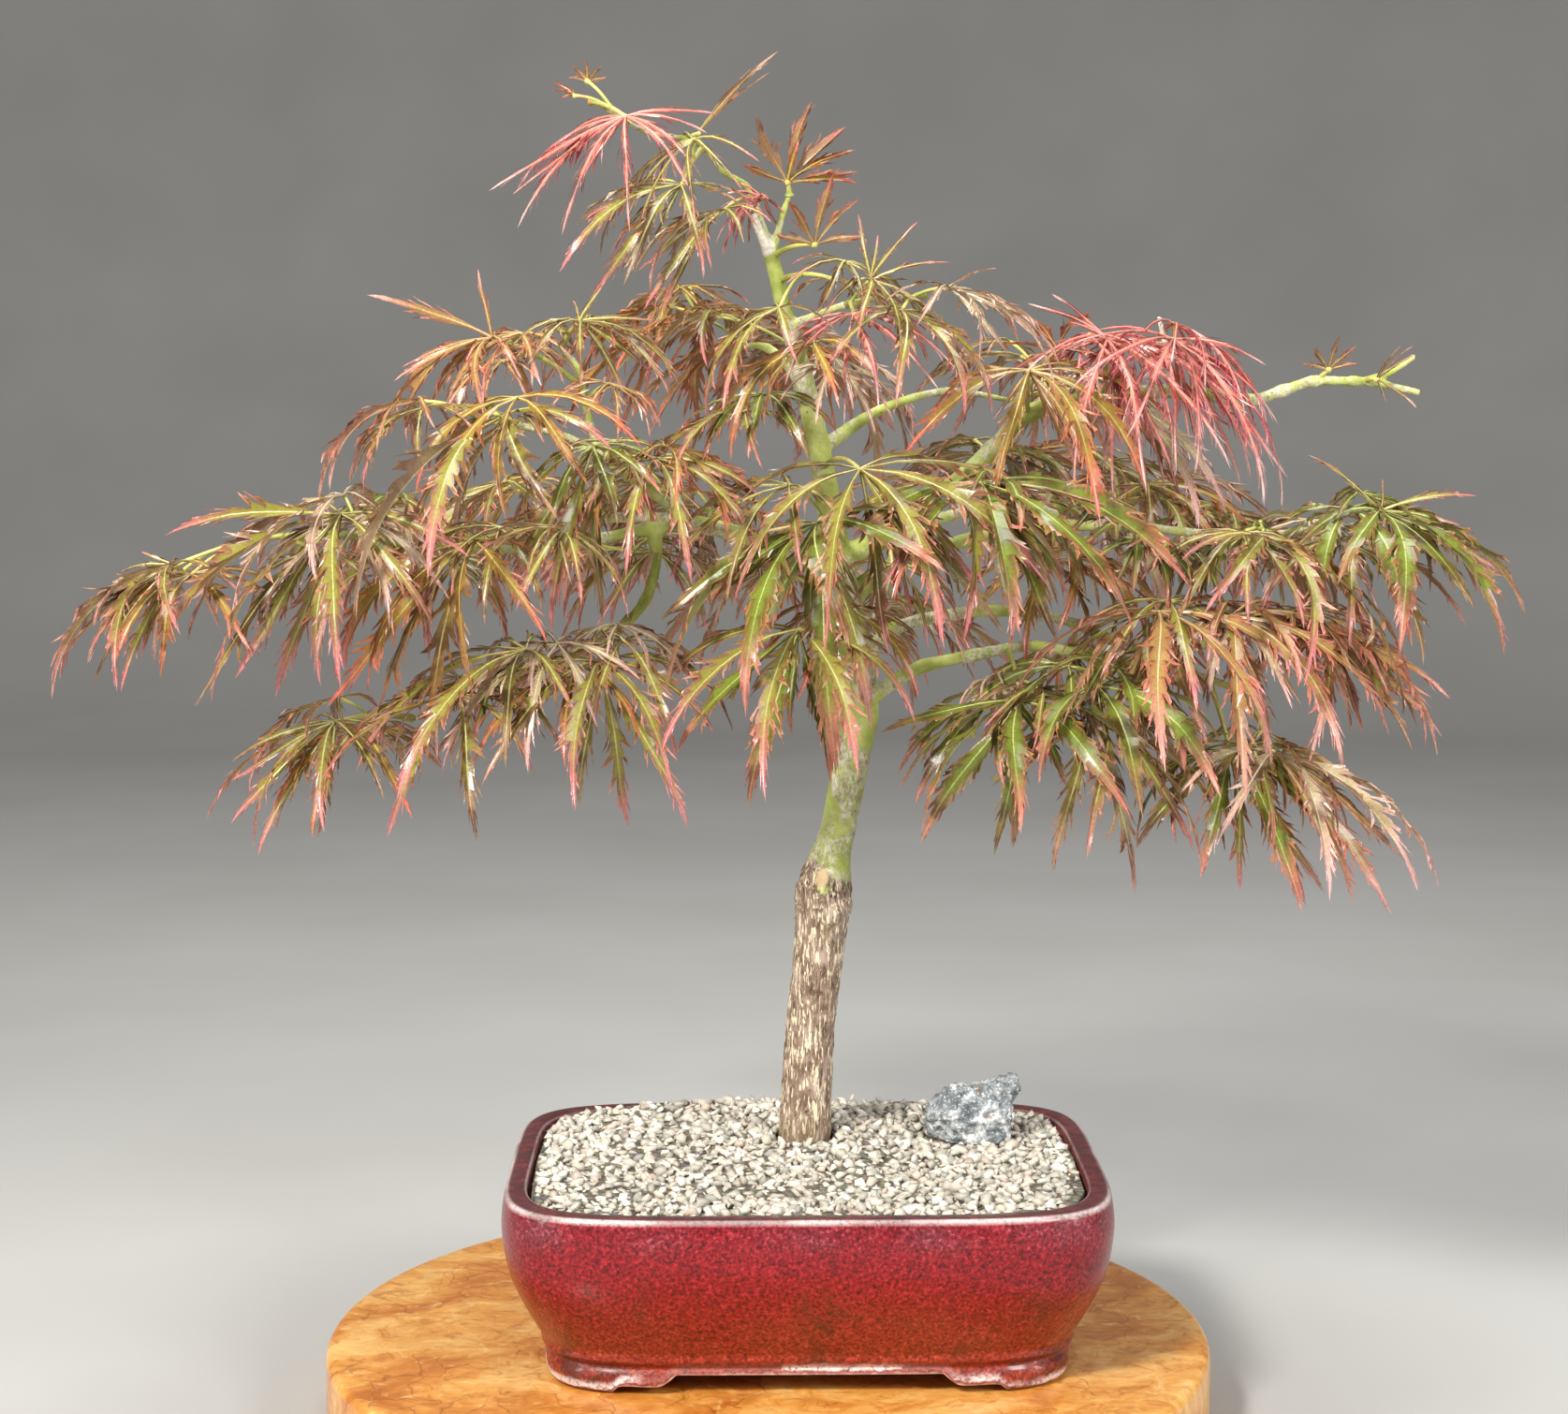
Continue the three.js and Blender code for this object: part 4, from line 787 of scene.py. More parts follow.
@functools.cache
def lobe_triangles(count):
    """Triangles of a lobe with that many lobules a side, the upper sheet's and then the lower's.
    Each station has six rib points and two notches, and each lobule six outline and two middle points."""
    stations = count + 2

    def notch(k, side):
        return 6 * stations + 2 * k + side

    def lobule(j, side, which):
        return 8 * stations + 8 * (2 * j + side) + which

    tip = 8 * stations + 16 * count
    sheets = []
    for lower in (0, 1):
        faces = []

        def rib(k, which):
            return 6 * k + 3 * lower + which

        for k in range(stations - 1):
            for which in (0, 1):
                a, b, c, d = rib(k, which), rib(k, which + 1), rib(k + 1, which + 1), rib(k + 1, which)
                faces += [(a, b, c), (a, c, d)]
        last = stations - 1
        faces += [(rib(last, 0), rib(last, 1), tip), (rib(last, 1), rib(last, 2), tip)]
        for side in (0, 1):
            edge = []
            beside = 2 * side
            edge += [(notch(0, side), rib(0, beside), rib(1, beside)),
                     (notch(0, side), rib(1, beside), notch(1, side))]
            for j in range(count):
                k = j + 1
                centre = lobule(j, side, 6 + lower)
                ring = [rib(k, beside), rib(k + 1, beside), notch(k + 1, side)]
                ring += [lobule(j, side, which) for which in (5, 4, 3, 2, 1, 0)] + [notch(k, side)]
                edge += [(centre, a, b) for a, b in zip(ring, ring[1:] + ring[:1])]
            edge.append((rib(last, beside), tip, notch(last, side)))
            faces += [(a, c, b) for a, b, c in edge] if side else edge
        faces = np.array(faces)
        sheets.append(faces[:, ::-1] if lower else faces)
    cap = [1, 0, notch(0, 0), 3, 4, 5, notch(0, 1), 2]
    caps = np.array([(cap[0], a, b) for a, b in zip(cap[1:], cap[2:])])
    return np.vstack([sheets[0], caps]), sheets[1]


# A rib's section, its upper side first: reach to the side and lift, as shares of its half width
RIB_REACH = [1, 0, -1, 1, 0, -1]
RIB_LIFT = [0.5, 1.1, 0.5, -0.4, -1.2, -0.4]
# The teeth on a lobule's outer edge: where each lies along it, and whether it is a point or a notch
TEETH = [(0.3, 1), (0.42, -1), (0.64, 1), (0.77, -1)]


def add_lobe(pile, leaf, lobe, slot, random):
    """A lobe as a thin blade, cut into toothed lobules along a raised rib"""
    style = STYLES.get(leaf["habit"], LEAFY)
    length = lobe["length"]
    count = int(np.clip(round(length / style["rib_per_lobule"]), 3, style["most"]))
    stations = count + 2
    starts = np.linspace(style["first"], 0.93, count + 1)
    starts[1:-1] += (random.rand(count - 1) - 0.5) * 0.35 * (starts[1] - starts[0])
    shares = np.concatenate([[0], starts])
    full = lobe["half"] * length * style["widen"]

    def width(share):
        return full * np.interp(share, style["shares"], style["widths"])

    rib = 0.2 + 0.34 * (1 - shares)
    notches = np.interp(shares, style["shares"], style["notches"])
    unevenness = 0.85 + 0.3 * random.rand(2, stations)
    rim_half = np.maximum(width(shares) * notches * unevenness, rib * 1.7)
    place = [np.repeat(shares, 6), np.repeat(shares, 2)]
    reach = [np.outer(rib, RIB_REACH).ravel(), (rim_half.T * [1, -1]).ravel()]
    lift = [np.outer(rib, RIB_LIFT).ravel(), np.zeros(2 * stations)]
    rim = [np.zeros(6 * stations), np.full(2 * stations, 0.8)]
    for j in range(count):
        begin, end = starts[j], starts[j + 1]
        for side, sign in ((0, 1), (1, -1)):
            lean, spread, bite, rise, _ = random.rand(5)
            tip_share = min(begin + (end - begin) * (0.95 + style["lean"] * (0.6 + 0.8 * lean)), 0.985)
            near, far = rim_half[side][j + 1], rim_half[side][j + 2]
            tip_half = max(width(tip_share) * (0.8 + 0.45 * spread), far * 1.05)
            run = tip_share - begin
            for at, way in TEETH:
                push = way * style["tooth"] * (0.5 + bite)
                place.append([begin + run * (at + max(push, 0) * 0.5)])
                reach.append([sign * (near + (tip_half - near) * at ** style["swell"]) * (1 + push)])
            place.append([tip_share, tip_share + 0.45 * (end - tip_share) + 0.01])
            reach.append([sign * tip_half, sign * (tip_half + 0.45 * (far - tip_half)) * 1.04])
            middle = sign * (0.5 * near + 0.36 * tip_half)
            place.append([begin + 0.55 * run] * 2)
            reach.append([middle] * 2)
            crown = 0.1 * abs(middle) * (rise - 0.2)
            lift.append([0, 0, 0, 0, 0, 0, crown + 0.14, crown - 0.14])
            rim.append([1, 0.85, 1, 0.88, 1, 0.95, 0.4, 0.4])
    place, reach, lift, rim = (np.concatenate(rows + [[at_tip]]) for rows, at_tip in (
        (place, 1), (reach, 0), (lift, 0), (rim, 1)))
    low, high = style["fold"]
    fold, twist, turn, phase = low + (high - low) * random.rand(), *(random.rand(3) - 0.5)
    across_share = np.abs(reach) / np.maximum(np.interp(place, style["shares"], style["widths"]) * full, 0.6)
    wave = np.sin(ROUND * (3.2 * place + phase) + np.where(reach > 0, 0, 2.1)) * style["wave"]
    curl = style["curl"] * across_share * (0.4 + random.rand())
    tall = np.abs(reach) * (fold - curl + wave * across_share) + lift
    sway = length * 0.022 * np.sin(ROUND * (0.9 * place + turn)) * place
    angle = twist * 0.9 + turn * 1.6 * place
    points, across, up = lobe_frame(leaf, lobe, place)
    points = points + across * (sway + reach * np.cos(angle) - tall * np.sin(angle))[:, None]
    points = points + up * (reach * np.sin(angle) + tall * np.cos(angle))[:, None]
    upper, lower = lobe_triangles(count)
    slots = np.repeat([slot, slot + 1], [len(upper), len(lower)])
    pile.add(np.clip(points, *LIMITS), np.vstack([upper, lower]), slots, rim=rim, along=place,
             side=np.abs(reach), tone=random.rand())


def tube(points, radii, sides):
    """Points and triangles of a round tube with closed ends, its rings carried along without twist"""
    points = np.asarray(points, float)
    tangents = np.gradient(points, axis=0)
    tangents /= np.linalg.norm(tangents, axis=1)[:, None]
    normal = np.array([1.0, 0, 0] if abs(tangents[0][2]) > 0.9 else [0, 0, 1.0])
    turns = ring_turns(sides)
    rows = []
    for point, tangent, radius in zip(points, tangents, radii):
        normal = unit(normal - tangent * normal.dot(tangent))
        other = np.cross(tangent, normal)
        rows.append(point + radius * (np.cos(turns)[:, None] * normal + np.sin(turns)[:, None] * other))
    rings = np.concatenate(rows)
    count = len(points)
    base = (np.arange(count - 1) * sides)[:, None] + np.arange(sides)
    onward = (np.arange(count - 1) * sides)[:, None] + (np.arange(sides) + 1) % sides
    first = np.stack([base, onward, onward + sides], axis=2).reshape(-1, 3)
    second = np.stack([base, onward + sides, base + sides], axis=2).reshape(-1, 3)
    start_cap = [(0, k + 1, k) for k in range(1, sides - 1)]
    end = (count - 1) * sides
    end_cap = [(end, end + k, end + k + 1) for k in range(1, sides - 1)]
    return rings, np.vstack([first, second, start_cap, end_cap])


def add_stem(pile, curve, root_radius):
    """A stem with a foot that flares into the wood and a swollen end under its leaf"""
    sides = 7
    shares = np.linspace(0, 1, 11)
    radii = root_radius + (TWIG["leaf"] - root_radius) * shares
    radii += 0.5 * root_radius * np.exp(-shares / 0.06) + 0.35 * np.exp(-(1 - shares) / 0.04)
    pile.add(*tube(bezier(curve, shares), radii, sides), along=np.repeat(shares, sides), tone=0.5)


def add_hub(pile, leaf):
    """The small boss in which a leaf's ribs meet"""
    up = leaf["normal"] * 1.1
    centre = leaf["hub"] - leaf["normal"] * 0.3
    places = [centre + up * share for share in (-1, -0.6, 0, 0.6, 1)]
    pile.add(*tube(places, [0.5, 1.5, 1.9, 1.4, 0.4], 8), along=0.9, tone=0.5)


def point_on(limb, place):
    route = np.array([row[:3] for row in (TRUNK if limb == "trunk" else LIMBS[limb][2])], float)
    index = min(int(place), len(route) - 2)
    return route[index] + (route[index + 1] - route[index]) * (place - index)


def back_sprays():
    """The far side's sprays: a pair of leaves each, turned out from the trunk"""
    rows = []
    draw = draws(SEEDS["back_sprays"])
    habits = ["bronze", "green", "bronze", "pale", "orange"]
    for limb, places in BACK_SPRAYS:
        for i, place in enumerate(places):
            x, y, z = point_on(limb, place)
            outward = math.atan2(y - ROOT["y"], x - ROOT["x"])
            leaves = []
            for side in (-1, 1):
                heading = outward + side * math.radians(BACK_LEAF["turn"] * (0.7 + 0.6 * draw()))
                hub = [x + BACK_LEAF["reach"] * math.cos(heading), y + BACK_LEAF["reach"] * math.sin(heading),
                       z + BACK_LEAF["rise"] * (1 + side * 0.9 + draw())]
                length = BACK_LEAF["length"] + BACK_LEAF["spread"] * draw()
                habit = habits[int(draw() * len(habits))]
                leaves.append([*hub, length, math.degrees(heading), habit])
            rows.append([f"{limb}_{i + 1}", limb, place, leaves])
    return rows


def shorten_into_box(leaf, lobe, factor):
    """Shortens a lobe until its outer part, with its waves, stays in the part's box"""
    low, high = LIMITS
    room = 8
    while lobe["length"] > room:
        points = lobe_frame(leaf, lobe, [0.6, 1])[0]
        if ((points > low + room) & (points < high - room)).all():
            break
        lobe["length"] *= factor


def partners(leaf, row, curve, random):
    """The leaves opposite a leaf on its twig: a little smaller, turned to its sides and set behind it"""
    habit, length = leaf["habit"], row[3]
    spine = np.array(TRUNK, float)
    trunk_x = np.interp(leaf["hub"][2], spine[:, 2], spine[:, 0])
    hides_trunk = abs(leaf["hub"][0] - trunk_x) < PARTNER["clear_of_trunk"] and leaf["hub"][1] < 0
    if habit not in PARTNER_HABITS or length < PARTNER["least"] or hides_trunk:
        return []
    found = []
    first_side = 1 if random.rand() < 0.5 else -1

    def between(key):
        low, high = PARTNER[key]
        return low + (high - low) * random.rand()

    for k in range(2 if length > PARTNER["pair_over"] else 1):
        side = first_side * (1 - 2 * k)
        hub = leaf["hub"] - leaf["middle"] * between("back") + leaf["side"] * side * between("beside")
        hub = hub + [0, 6, between("rise")]
        kinds = PARTNER_HABITS[habit]
        kind = kinds[random.randint(len(kinds))]
        heading = row[4] + side * between("turn")
        seed = leaf["seed"] + SEEDS["partners"] + k
        partner = planned_leaf([*hub, length * between("length"), heading, kind], seed)
        for lobe in partner["lobes"]:
            shorten_into_box(partner, lobe, 0.9)
        start = bezier(curve, [between("root")])[0]
        found.append((partner, arched_stem(start, stem_end(partner), [0, 0, 0])))
    return found


def reaching_lobe(leaf, habit, tip, random):
    """A leaf turned so that its middle lobe is that lobe, with its tip at an x and z beside the leaf"""
    across = np.array([tip[0] - leaf["hub"][0], 0, tip[1] - leaf["hub"][2]])
    across[1] = np.linalg.norm(across) * 0.5 * (random.rand() - 0.6)
    length = np.linalg.norm(across)
    middle = across / length
    facing = np.array([0.3 * (random.rand() - 0.5), -0.8, 0.6])
    normal = unit(facing - middle * facing.dot(middle))
    side = np.cross(normal, middle)
    turned = {**leaf, "habit": habit, "middle": middle, "side": side, "normal": normal}
    bend = 24 + 34 * random.rand()
    half = HABITS.get(habit, BROAD)["half"]
    lobe = {"angle": 0, "length": 1.02 * length, "bend": bend, "lift": -bend / 2, "half": half}
    shorten_into_box(turned, lobe, 0.97)
    return turned, lobe


def add_leaf(pile, leaf, curve, radius, lobes, slot, random):
    add_stem(pile, curve, radius)
    add_hub(pile, leaf)
    for lobe in lobes:
        add_lobe(pile, leaf, lobe, slot, random)


def make_spray(name, limb, place, rows, seed):
    node = f"spray_{name}"
    solid = mesh_points(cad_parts[node].data)
    pile = Pile("rim", "along", "side", "tone")
    materials = [stem_finish()]
    habits = []

    def slot_of(habit):
        habit = TINTS.get((name, habit), habit)
        if habit not in habits:
            habits.append(habit)
            materials.extend(leaf_finish(habit, under) for under in (False, True))
        return 1 + 2 * habits.index(habit)

    shoot = None
    for i, row in enumerate(rows):
        leaf = planned_leaf(row, seed + i)
        random = np.random.RandomState(leaf["seed"])
        start = point_on(limb, place) if i == 0 else bezier(shoot, [BRANCHING[i]])[0]
        radius = TWIG["root"] if i == 0 else TWIG["petiole"]
        end = stem_end(leaf)
        way = taken_way(STEM_WAYS, lambda w: stem_marks(leaf, arched_stem(start, end, w), radius), solid)
        curve = arched_stem(start, end, way)
        shoot = curve if i == 0 else shoot
        lobes = []
        for lobe in leaf["lobes"]:
            way = taken_way(LOBE_WAYS, lambda w: lobe_marks(leaf, bent_lobe(lobe, w)), solid)
            lobes.append(bent_lobe(lobe, way))
        add_leaf(pile, leaf, curve, radius, lobes, slot_of(leaf["habit"]), random)
        for partner, stem in [] if name in ALONE else partners(leaf, row, curve, random):
            slot = slot_of(partner["habit"])
            add_leaf(pile, partner, stem, TWIG["petiole"], partner["lobes"], slot, random)
        for spray, which, habit, tips in MORE_LOBES:
            for tip in tips if (spray, which) == (name, i) else []:
                add_lobe(pile, *reaching_lobe(leaf, habit, tip, random), slot_of(habit), random)
    piece = pile.build(f"leaves_{name}", materials, sharp_angle=80)
    settle(piece, f"foliage_{SLOT_HABITS.get(rows[0][5], rows[0][5])}", node)


def make_leaves():
    for index, spray in enumerate(SPRAYS + back_sprays()):
        make_spray(*spray, SEEDS["leaves"] + 40 * index)


# Trunk and limbs

def bark_finish():
    skin = Finish("bark", 0.72, 0.35)
    flecks = skin.noise(760, 3, 0.55, 0.7, skin.stretched((1, 1, 0.14)))
    cracks = skin.noise(420, 5, 0.66, 1.2, skin.stretched((1, 1, 0.22)))
    blotches = skin.noise(38, 4, 0.55)
    bands = skin.noise(26, 3, 0.5)
    specks = skin.noise(520, 3, 0.7)
    old = skin.ramp(skin.noise(110, 4, 0.6), (0.34, "#6c5646"), (0.5, "#8b7462"), (0.64, "#a99486"))
    old = skin.mix(skin.span(cracks, 0.46, 0.38, 0, 0.8), old, "#3e3026")
    light = skin.math("MAXIMUM", skin.span(flecks, 0.55, 0.585), skin.span(cracks, 0.615, 0.65))
    old = skin.mix(skin.math("MULTIPLY", light, 0.9), old, "#e4d6b6")
    old = skin.mix(skin.math("MULTIPLY", skin.value("collar"), skin.span(cracks, 0.5, 0.42)), old, "#3a2c22")
    old = skin.mix(skin.span(bands, 0.5, 0.68, 0, 0.45), old, "#7c7048")
    old = skin.mix(skin.span(skin.place_along("Z"), 0.152, 0.138, 0, 0.55), old, "#6a5a3c")
    green = skin.ramp(skin.noise(60, 5, 0.6), (0.3, "#83903c"), (0.5, "#acb65c"), (0.7, "#cdd08c"))
    rough = skin.ramp(skin.noise(260, 5, 0.75), (0.35, "#7d7660"), (0.5, "#bdb79c"), (0.66, "#e6e2d0"))
    patch = skin.math("MULTIPLY", skin.span(blotches, 0.44, 0.57), skin.span(cracks, 0.42, 0.52))
    new = skin.mix(patch, green, rough)
    new = skin.mix(skin.span(specks, 0.64, 0.71, 0, 0.75), new, "#4c4630")
    ragged = skin.math("MULTIPLY_ADD", skin.noise(80, 4, 0.6), 0.06, skin.place_along("Z"))
    ragged = skin.math("MULTIPLY_ADD", skin.place_along("X"), 0.55, ragged)
    body = skin.mix(skin.span(ragged, 0.319, 0.327), old, new)
    scar = skin.math("MULTIPLY_ADD", specks, 0.5, skin.value("scar"))
    body = skin.mix(skin.span(scar, 0.86, 0.98), body, "#c8ae86")
    dry = skin.ramp(specks, (0.3, "#b8ad96"), (0.5, "#e2dccb"), (0.7, "#f6f2e8"))
    skin.paint(skin.mix(skin.value("dry"), body, dry))
    grain = skin.mix(0.5, skin.mix(0.5, flecks, cracks), specks)
    return skin.bump(grain, 0.8, 0.8).material


def ridged(points, scale, squeeze, seed):
    """Ridged noise at points, stretched upright"""
    shift = Vector((seed * 7.1, seed * 3.3, seed * 5.7))
    out = np.empty(len(points))
    for i, (x, y, z) in enumerate(points):
        out[i] = 1 - abs(noise.noise(Vector((x * scale, y * scale, z * scale * squeeze)) + shift)) * 2
    return out


def make_wood():
    """Trunk and limbs as one skin, furrowed below the graft and smooth above it"""
    pile = Pile()
    steps = 4
    spine = smooth_path(TRUNK, steps)
    pile.add(*tube(spine[:, :3], spine[:, 3], 24))
    for x, y, z, radius in GRAFT_LUMPS:
        shares = np.linspace(-0.97, 0.97, 9)
        places = [(x, y, z + 1.2 * radius * share) for share in shares]
        pile.add(*tube(places, radius * np.sqrt(1 - shares ** 2), 14))
    for root_radius, end_radius, route in LIMBS.values():
        path = smooth_path(route, steps)
        share = np.linspace(0, 1, len(path))
        radii = root_radius + (end_radius - root_radius) * share
        radii = radii + 0.5 * root_radius * np.exp(-share * len(route) / 0.9)
        for k in range(2, len(route) - 1):
            radii = radii + 0.16 * root_radius * np.exp(-((share * (len(route) - 1) - k) / 0.16) ** 2)
        pile.add(*tube(path, radii, 12))
    piece = pile.build("trunk_and_limbs_bark", [bark_finish()], sharp_angle=60)
    mesh, points, normals = refined(piece, VOXELS["bark"], 3)
    height = points[:, 2]
    below = 1 - smoothstep(height, GRAFT["bark_from"], GRAFT["bark_to"])
    near_trunk = np.hypot(points[:, 0] - GRAFT["x"], points[:, 1] - GRAFT["y"]) < GRAFT["reach"]
    collar = np.exp(-((height - GRAFT["swelling"]) / GRAFT["spread"]) ** 2)
    dark = np.exp(-((height - GRAFT["dark_at"]) / GRAFT["dark_spread"]) ** 2)
    furrows = ridged(points, 0.3, 0.22, 1)
    small = ridged(points, 0.45, 0.5, 2)
    knobs = ridged(points, 0.13, 1, 6)
    old = 0.6 * (furrows - 0.6) + 0.35 * (small - 0.6) + 1.5 * collar * (knobs - 0.75)
    push = below * near_trunk * old + (1 - below) * 0.16 * (small - 0.6)
    set_points(mesh, points + normals * push[:, None])
    dry = np.zeros(len(points))
    for limb in DRY_WOOD:
        route = smooth_path(LIMBS[limb][2], 6)
        distance = np.linalg.norm(points[:, None] - route[None, 3:], axis=2).min(axis=1)
        dry = np.maximum(dry, 1 - smoothstep(distance, 4, 5.5))
    from_scar = np.linalg.norm((points - GRAFT["scar"]) * [1, 1, 0.7], axis=1)
    set_values(mesh, "dry", dry)
    set_values(mesh, "scar", np.exp(-(from_scar / GRAFT["scar_size"]) ** 2))
    set_values(mesh, "collar", near_trunk * dark)
    shade_smooth(mesh)
    mesh.update()
    settle(piece, "bark", "trunk_and_limbs")


# Board

def board_finish():
    skin = Finish("board_wood", 0.32, coat=(0.25, 0.18))
    grain = skin.noise(14, 7, 0.62, 1.2, skin.stretched((1, 1.4, 1)))
    swirl = skin.noise(62, 6, 0.66, 1.6)
    fibres = skin.noise(210, 4, 0.6, 0.4, skin.stretched((0.4, 1, 1)))
    body = skin.ramp(grain, (0.32, "#b4661f"), (0.44, "#d2883a"), (0.54, "#e4a24c"), (0.66, "#f2bf70"))
    body = skin.mix(skin.span(swirl, 0.5, 0.66, 0, 0.7), body, "#bf7229")
    body = skin.mix(skin.span(swirl, 0.45, 0.32, 0, 0.7), body, "#f7ca82")
    body = skin.mix(skin.span(fibres, 0.3, 0.7, 0.25, 0), body, "#8c5220")
    islands = skin.span(skin.cells(34, "DISTANCE_TO_EDGE", vector=skin.warped(40, 0.03)), 0.0, 0.03, 1, 0)
    outlines = skin.math("MULTIPLY", islands, skin.span(grain, 0.46, 0.58, 0.6, 0.04))
    body = skin.mix(outlines, body, "#844a16")
    return skin.paint(body).bump(fibres, 0.12, 0.3).material


def lathe(profile, sides):
    """Points and triangles of a turned profile that starts and ends on the axis"""
    turns = ring_turns(sides)
    rings = [(r * np.cos(turns), r * np.sin(turns), np.full(sides, z)) for r, z in profile[1:-1]]
    points = [[(0, 0, profile[0][1])]] + [np.stack(ring, 1) for ring in rings] + [[(0, 0, profile[-1][1])]]
    end = 1 + len(rings) * sides
    around = [(k, (k + 1) % sides) for k in range(sides)]
    triangles = [(0, 1 + n, 1 + k) for k, n in around]
    for low in range(1, end - sides, sides):
        high = low + sides
        for k, n in around:
            triangles += [(low + k, low + n, high + n), (low + k, high + n, high + k)]
    triangles += [(end - sides + k, end - sides + n, end) for k, n in around]
    return np.vstack(points), np.array(triangles)


def make_board():
    radius, top, edge, foot = (BOARD[key] for key in ("radius", "top", "edge_round", "foot_round"))
    arc = np.linspace(0, math.pi / 2, 9)
    profile = [(0, 0), (radius - 40, 0), (radius - foot, 0)]
    profile += [(radius - foot + foot * math.sin(a), foot - foot * math.cos(a)) for a in arc[1:]]
    profile += [(radius - edge + edge * math.cos(a), top - edge + edge * math.sin(a)) for a in arc]
    profile += [(radius * share, top) for share in (0.94, 0.8, 0.5, 0.2, 0)]
    pile = Pile()
    pile.add(*lathe(profile, 192))
    settle(pile.build("board_turned", [board_finish()], sharp_angle=40), "board_wood", "round_board")


# Pot

def pot_plan(half_length, turns):
    power = 2 / POT["squareness"]
    half_width = max(half_length - POT["narrowing"], half_length / 2)
    c, s = np.cos(turns), np.sin(turns)
    return half_length * np.sign(c) * np.abs(c) ** power, half_width * np.sign(s) * np.abs(s) ** power


def even_turns(sides):
    """Turns whose points lie evenly along the pot's plan"""
    turns = np.linspace(0, 2 * math.pi, 4001)
    x, y = pot_plan(150, turns)
    along = np.concatenate([[0], np.cumsum(np.hypot(np.diff(x), np.diff(y)))])
    return np.interp(np.arange(sides) * along[-1] / sides, along, turns)


def pot_skin(profile):
    """Closed quads and caps over rings in the pot's plan"""
    sides = POT["sides"]
    turns = even_turns(sides)
    base = BOARD["top"] + GAP
    rings = []
    for half_length, height in profile:
        x, y = pot_plan(half_length, turns)
        rings.append(np.stack([POT["x"] + x, POT["y"] + y, np.full(sides, base + height)], axis=1))
    last = (len(profile) - 1) * sides
    faces = []
    for low in range(0, last, sides):
        for k in range(sides):
            n = (k + 1) % sides
            faces.append((low + k, low + n, low + sides + n, low + sides + k))
    faces.append(tuple(range(sides))[::-1])
    faces.append(tuple(last + k for k in range(sides)))
    return np.vstack(rings), faces


def plain_object(name, points, faces):
    mesh = bpy.data.meshes.new(name)
    mesh.from_pydata((np.asarray(points) * MM).tolist(), [], faces)
    return placed(name, mesh)


def prism(near, far):
    """A closed cutter between two outlines"""
    count = len(near)
    faces = [tuple(range(count)), tuple(range(2 * count))[:count - 1:-1]]
    faces += [(k, count + k, count + (k + 1) % count, (k + 1) % count) for k in range(count)]
    cutter = plain_object("cut", [*near, *far], faces)
    mesh = bmesh.new()
    mesh.from_mesh(cutter.data)
    bmesh.ops.recalc_face_normals(mesh, faces=mesh.faces)
    mesh.to_mesh(cutter.data)
    mesh.free()
    return cutter


def cloud_outline(half_span):
    """The stepped outline between two feet, from one side to the other"""
    rise = [(0, -1), (3, 2.5), (7, 4.5), (23, 4.5), (28, 6.5), (33, POT["underside"])]
    half = [(half_span - x, z) for x, z in smooth_path(rise, 4)]
    return half + [(-x, z) for x, z in half[::-1]]


def cloud_cut(half_span, turn):
    c, s = math.cos(turn), math.sin(turn)
    return prism(*(
        [(POT["x"] + c * x - s * reach, POT["y"] + s * x + c * reach, BOARD["top"] + GAP + z)
         for x, z in cloud_outline(half_span)]
        for reach in (-200, 200)))


def drain_cut(side):
    turns = ring_turns(32)
    x = POT["x"] + side * POT["drain_spread"] + np.cos(turns) * POT["drain_hole"] / 2
    y = POT["y"] + np.sin(turns) * POT["drain_hole"] / 2
    return prism(*([*zip(x, y, [height] * len(turns))] for height in (BOARD["top"] - 5, BOARD["top"] + 30)))


def cloud_edge(points, axis, half_span):
    """Height of the cloud-cut edge beside each point, along a side of the pot"""
    half = np.array(cloud_outline(half_span))[::-1]
    from_middle = np.abs(points[:, axis] - (POT["x"], POT["y"])[axis])
    return np.interp(from_middle, *half[len(half) // 2:].T, right=0)


def plan_half_length(points):
    """The half length of the pot's plan curve that passes through each point"""
    x, y = np.abs(points[:, 0] - POT["x"]), np.abs(points[:, 1] - POT["y"])
    low, high = np.full(len(points), 1.0), np.full(len(points), 200.0)
    for _ in range(30):
        middle = (low + high) / 2
        width = np.maximum(middle - POT["narrowing"], middle / 2)
        outside = (x / middle) ** POT["squareness"] + (y / width) ** POT["squareness"] > 1
        low, high = np.where(outside, middle, low), np.where(outside, high, middle)
    return (low + high) / 2


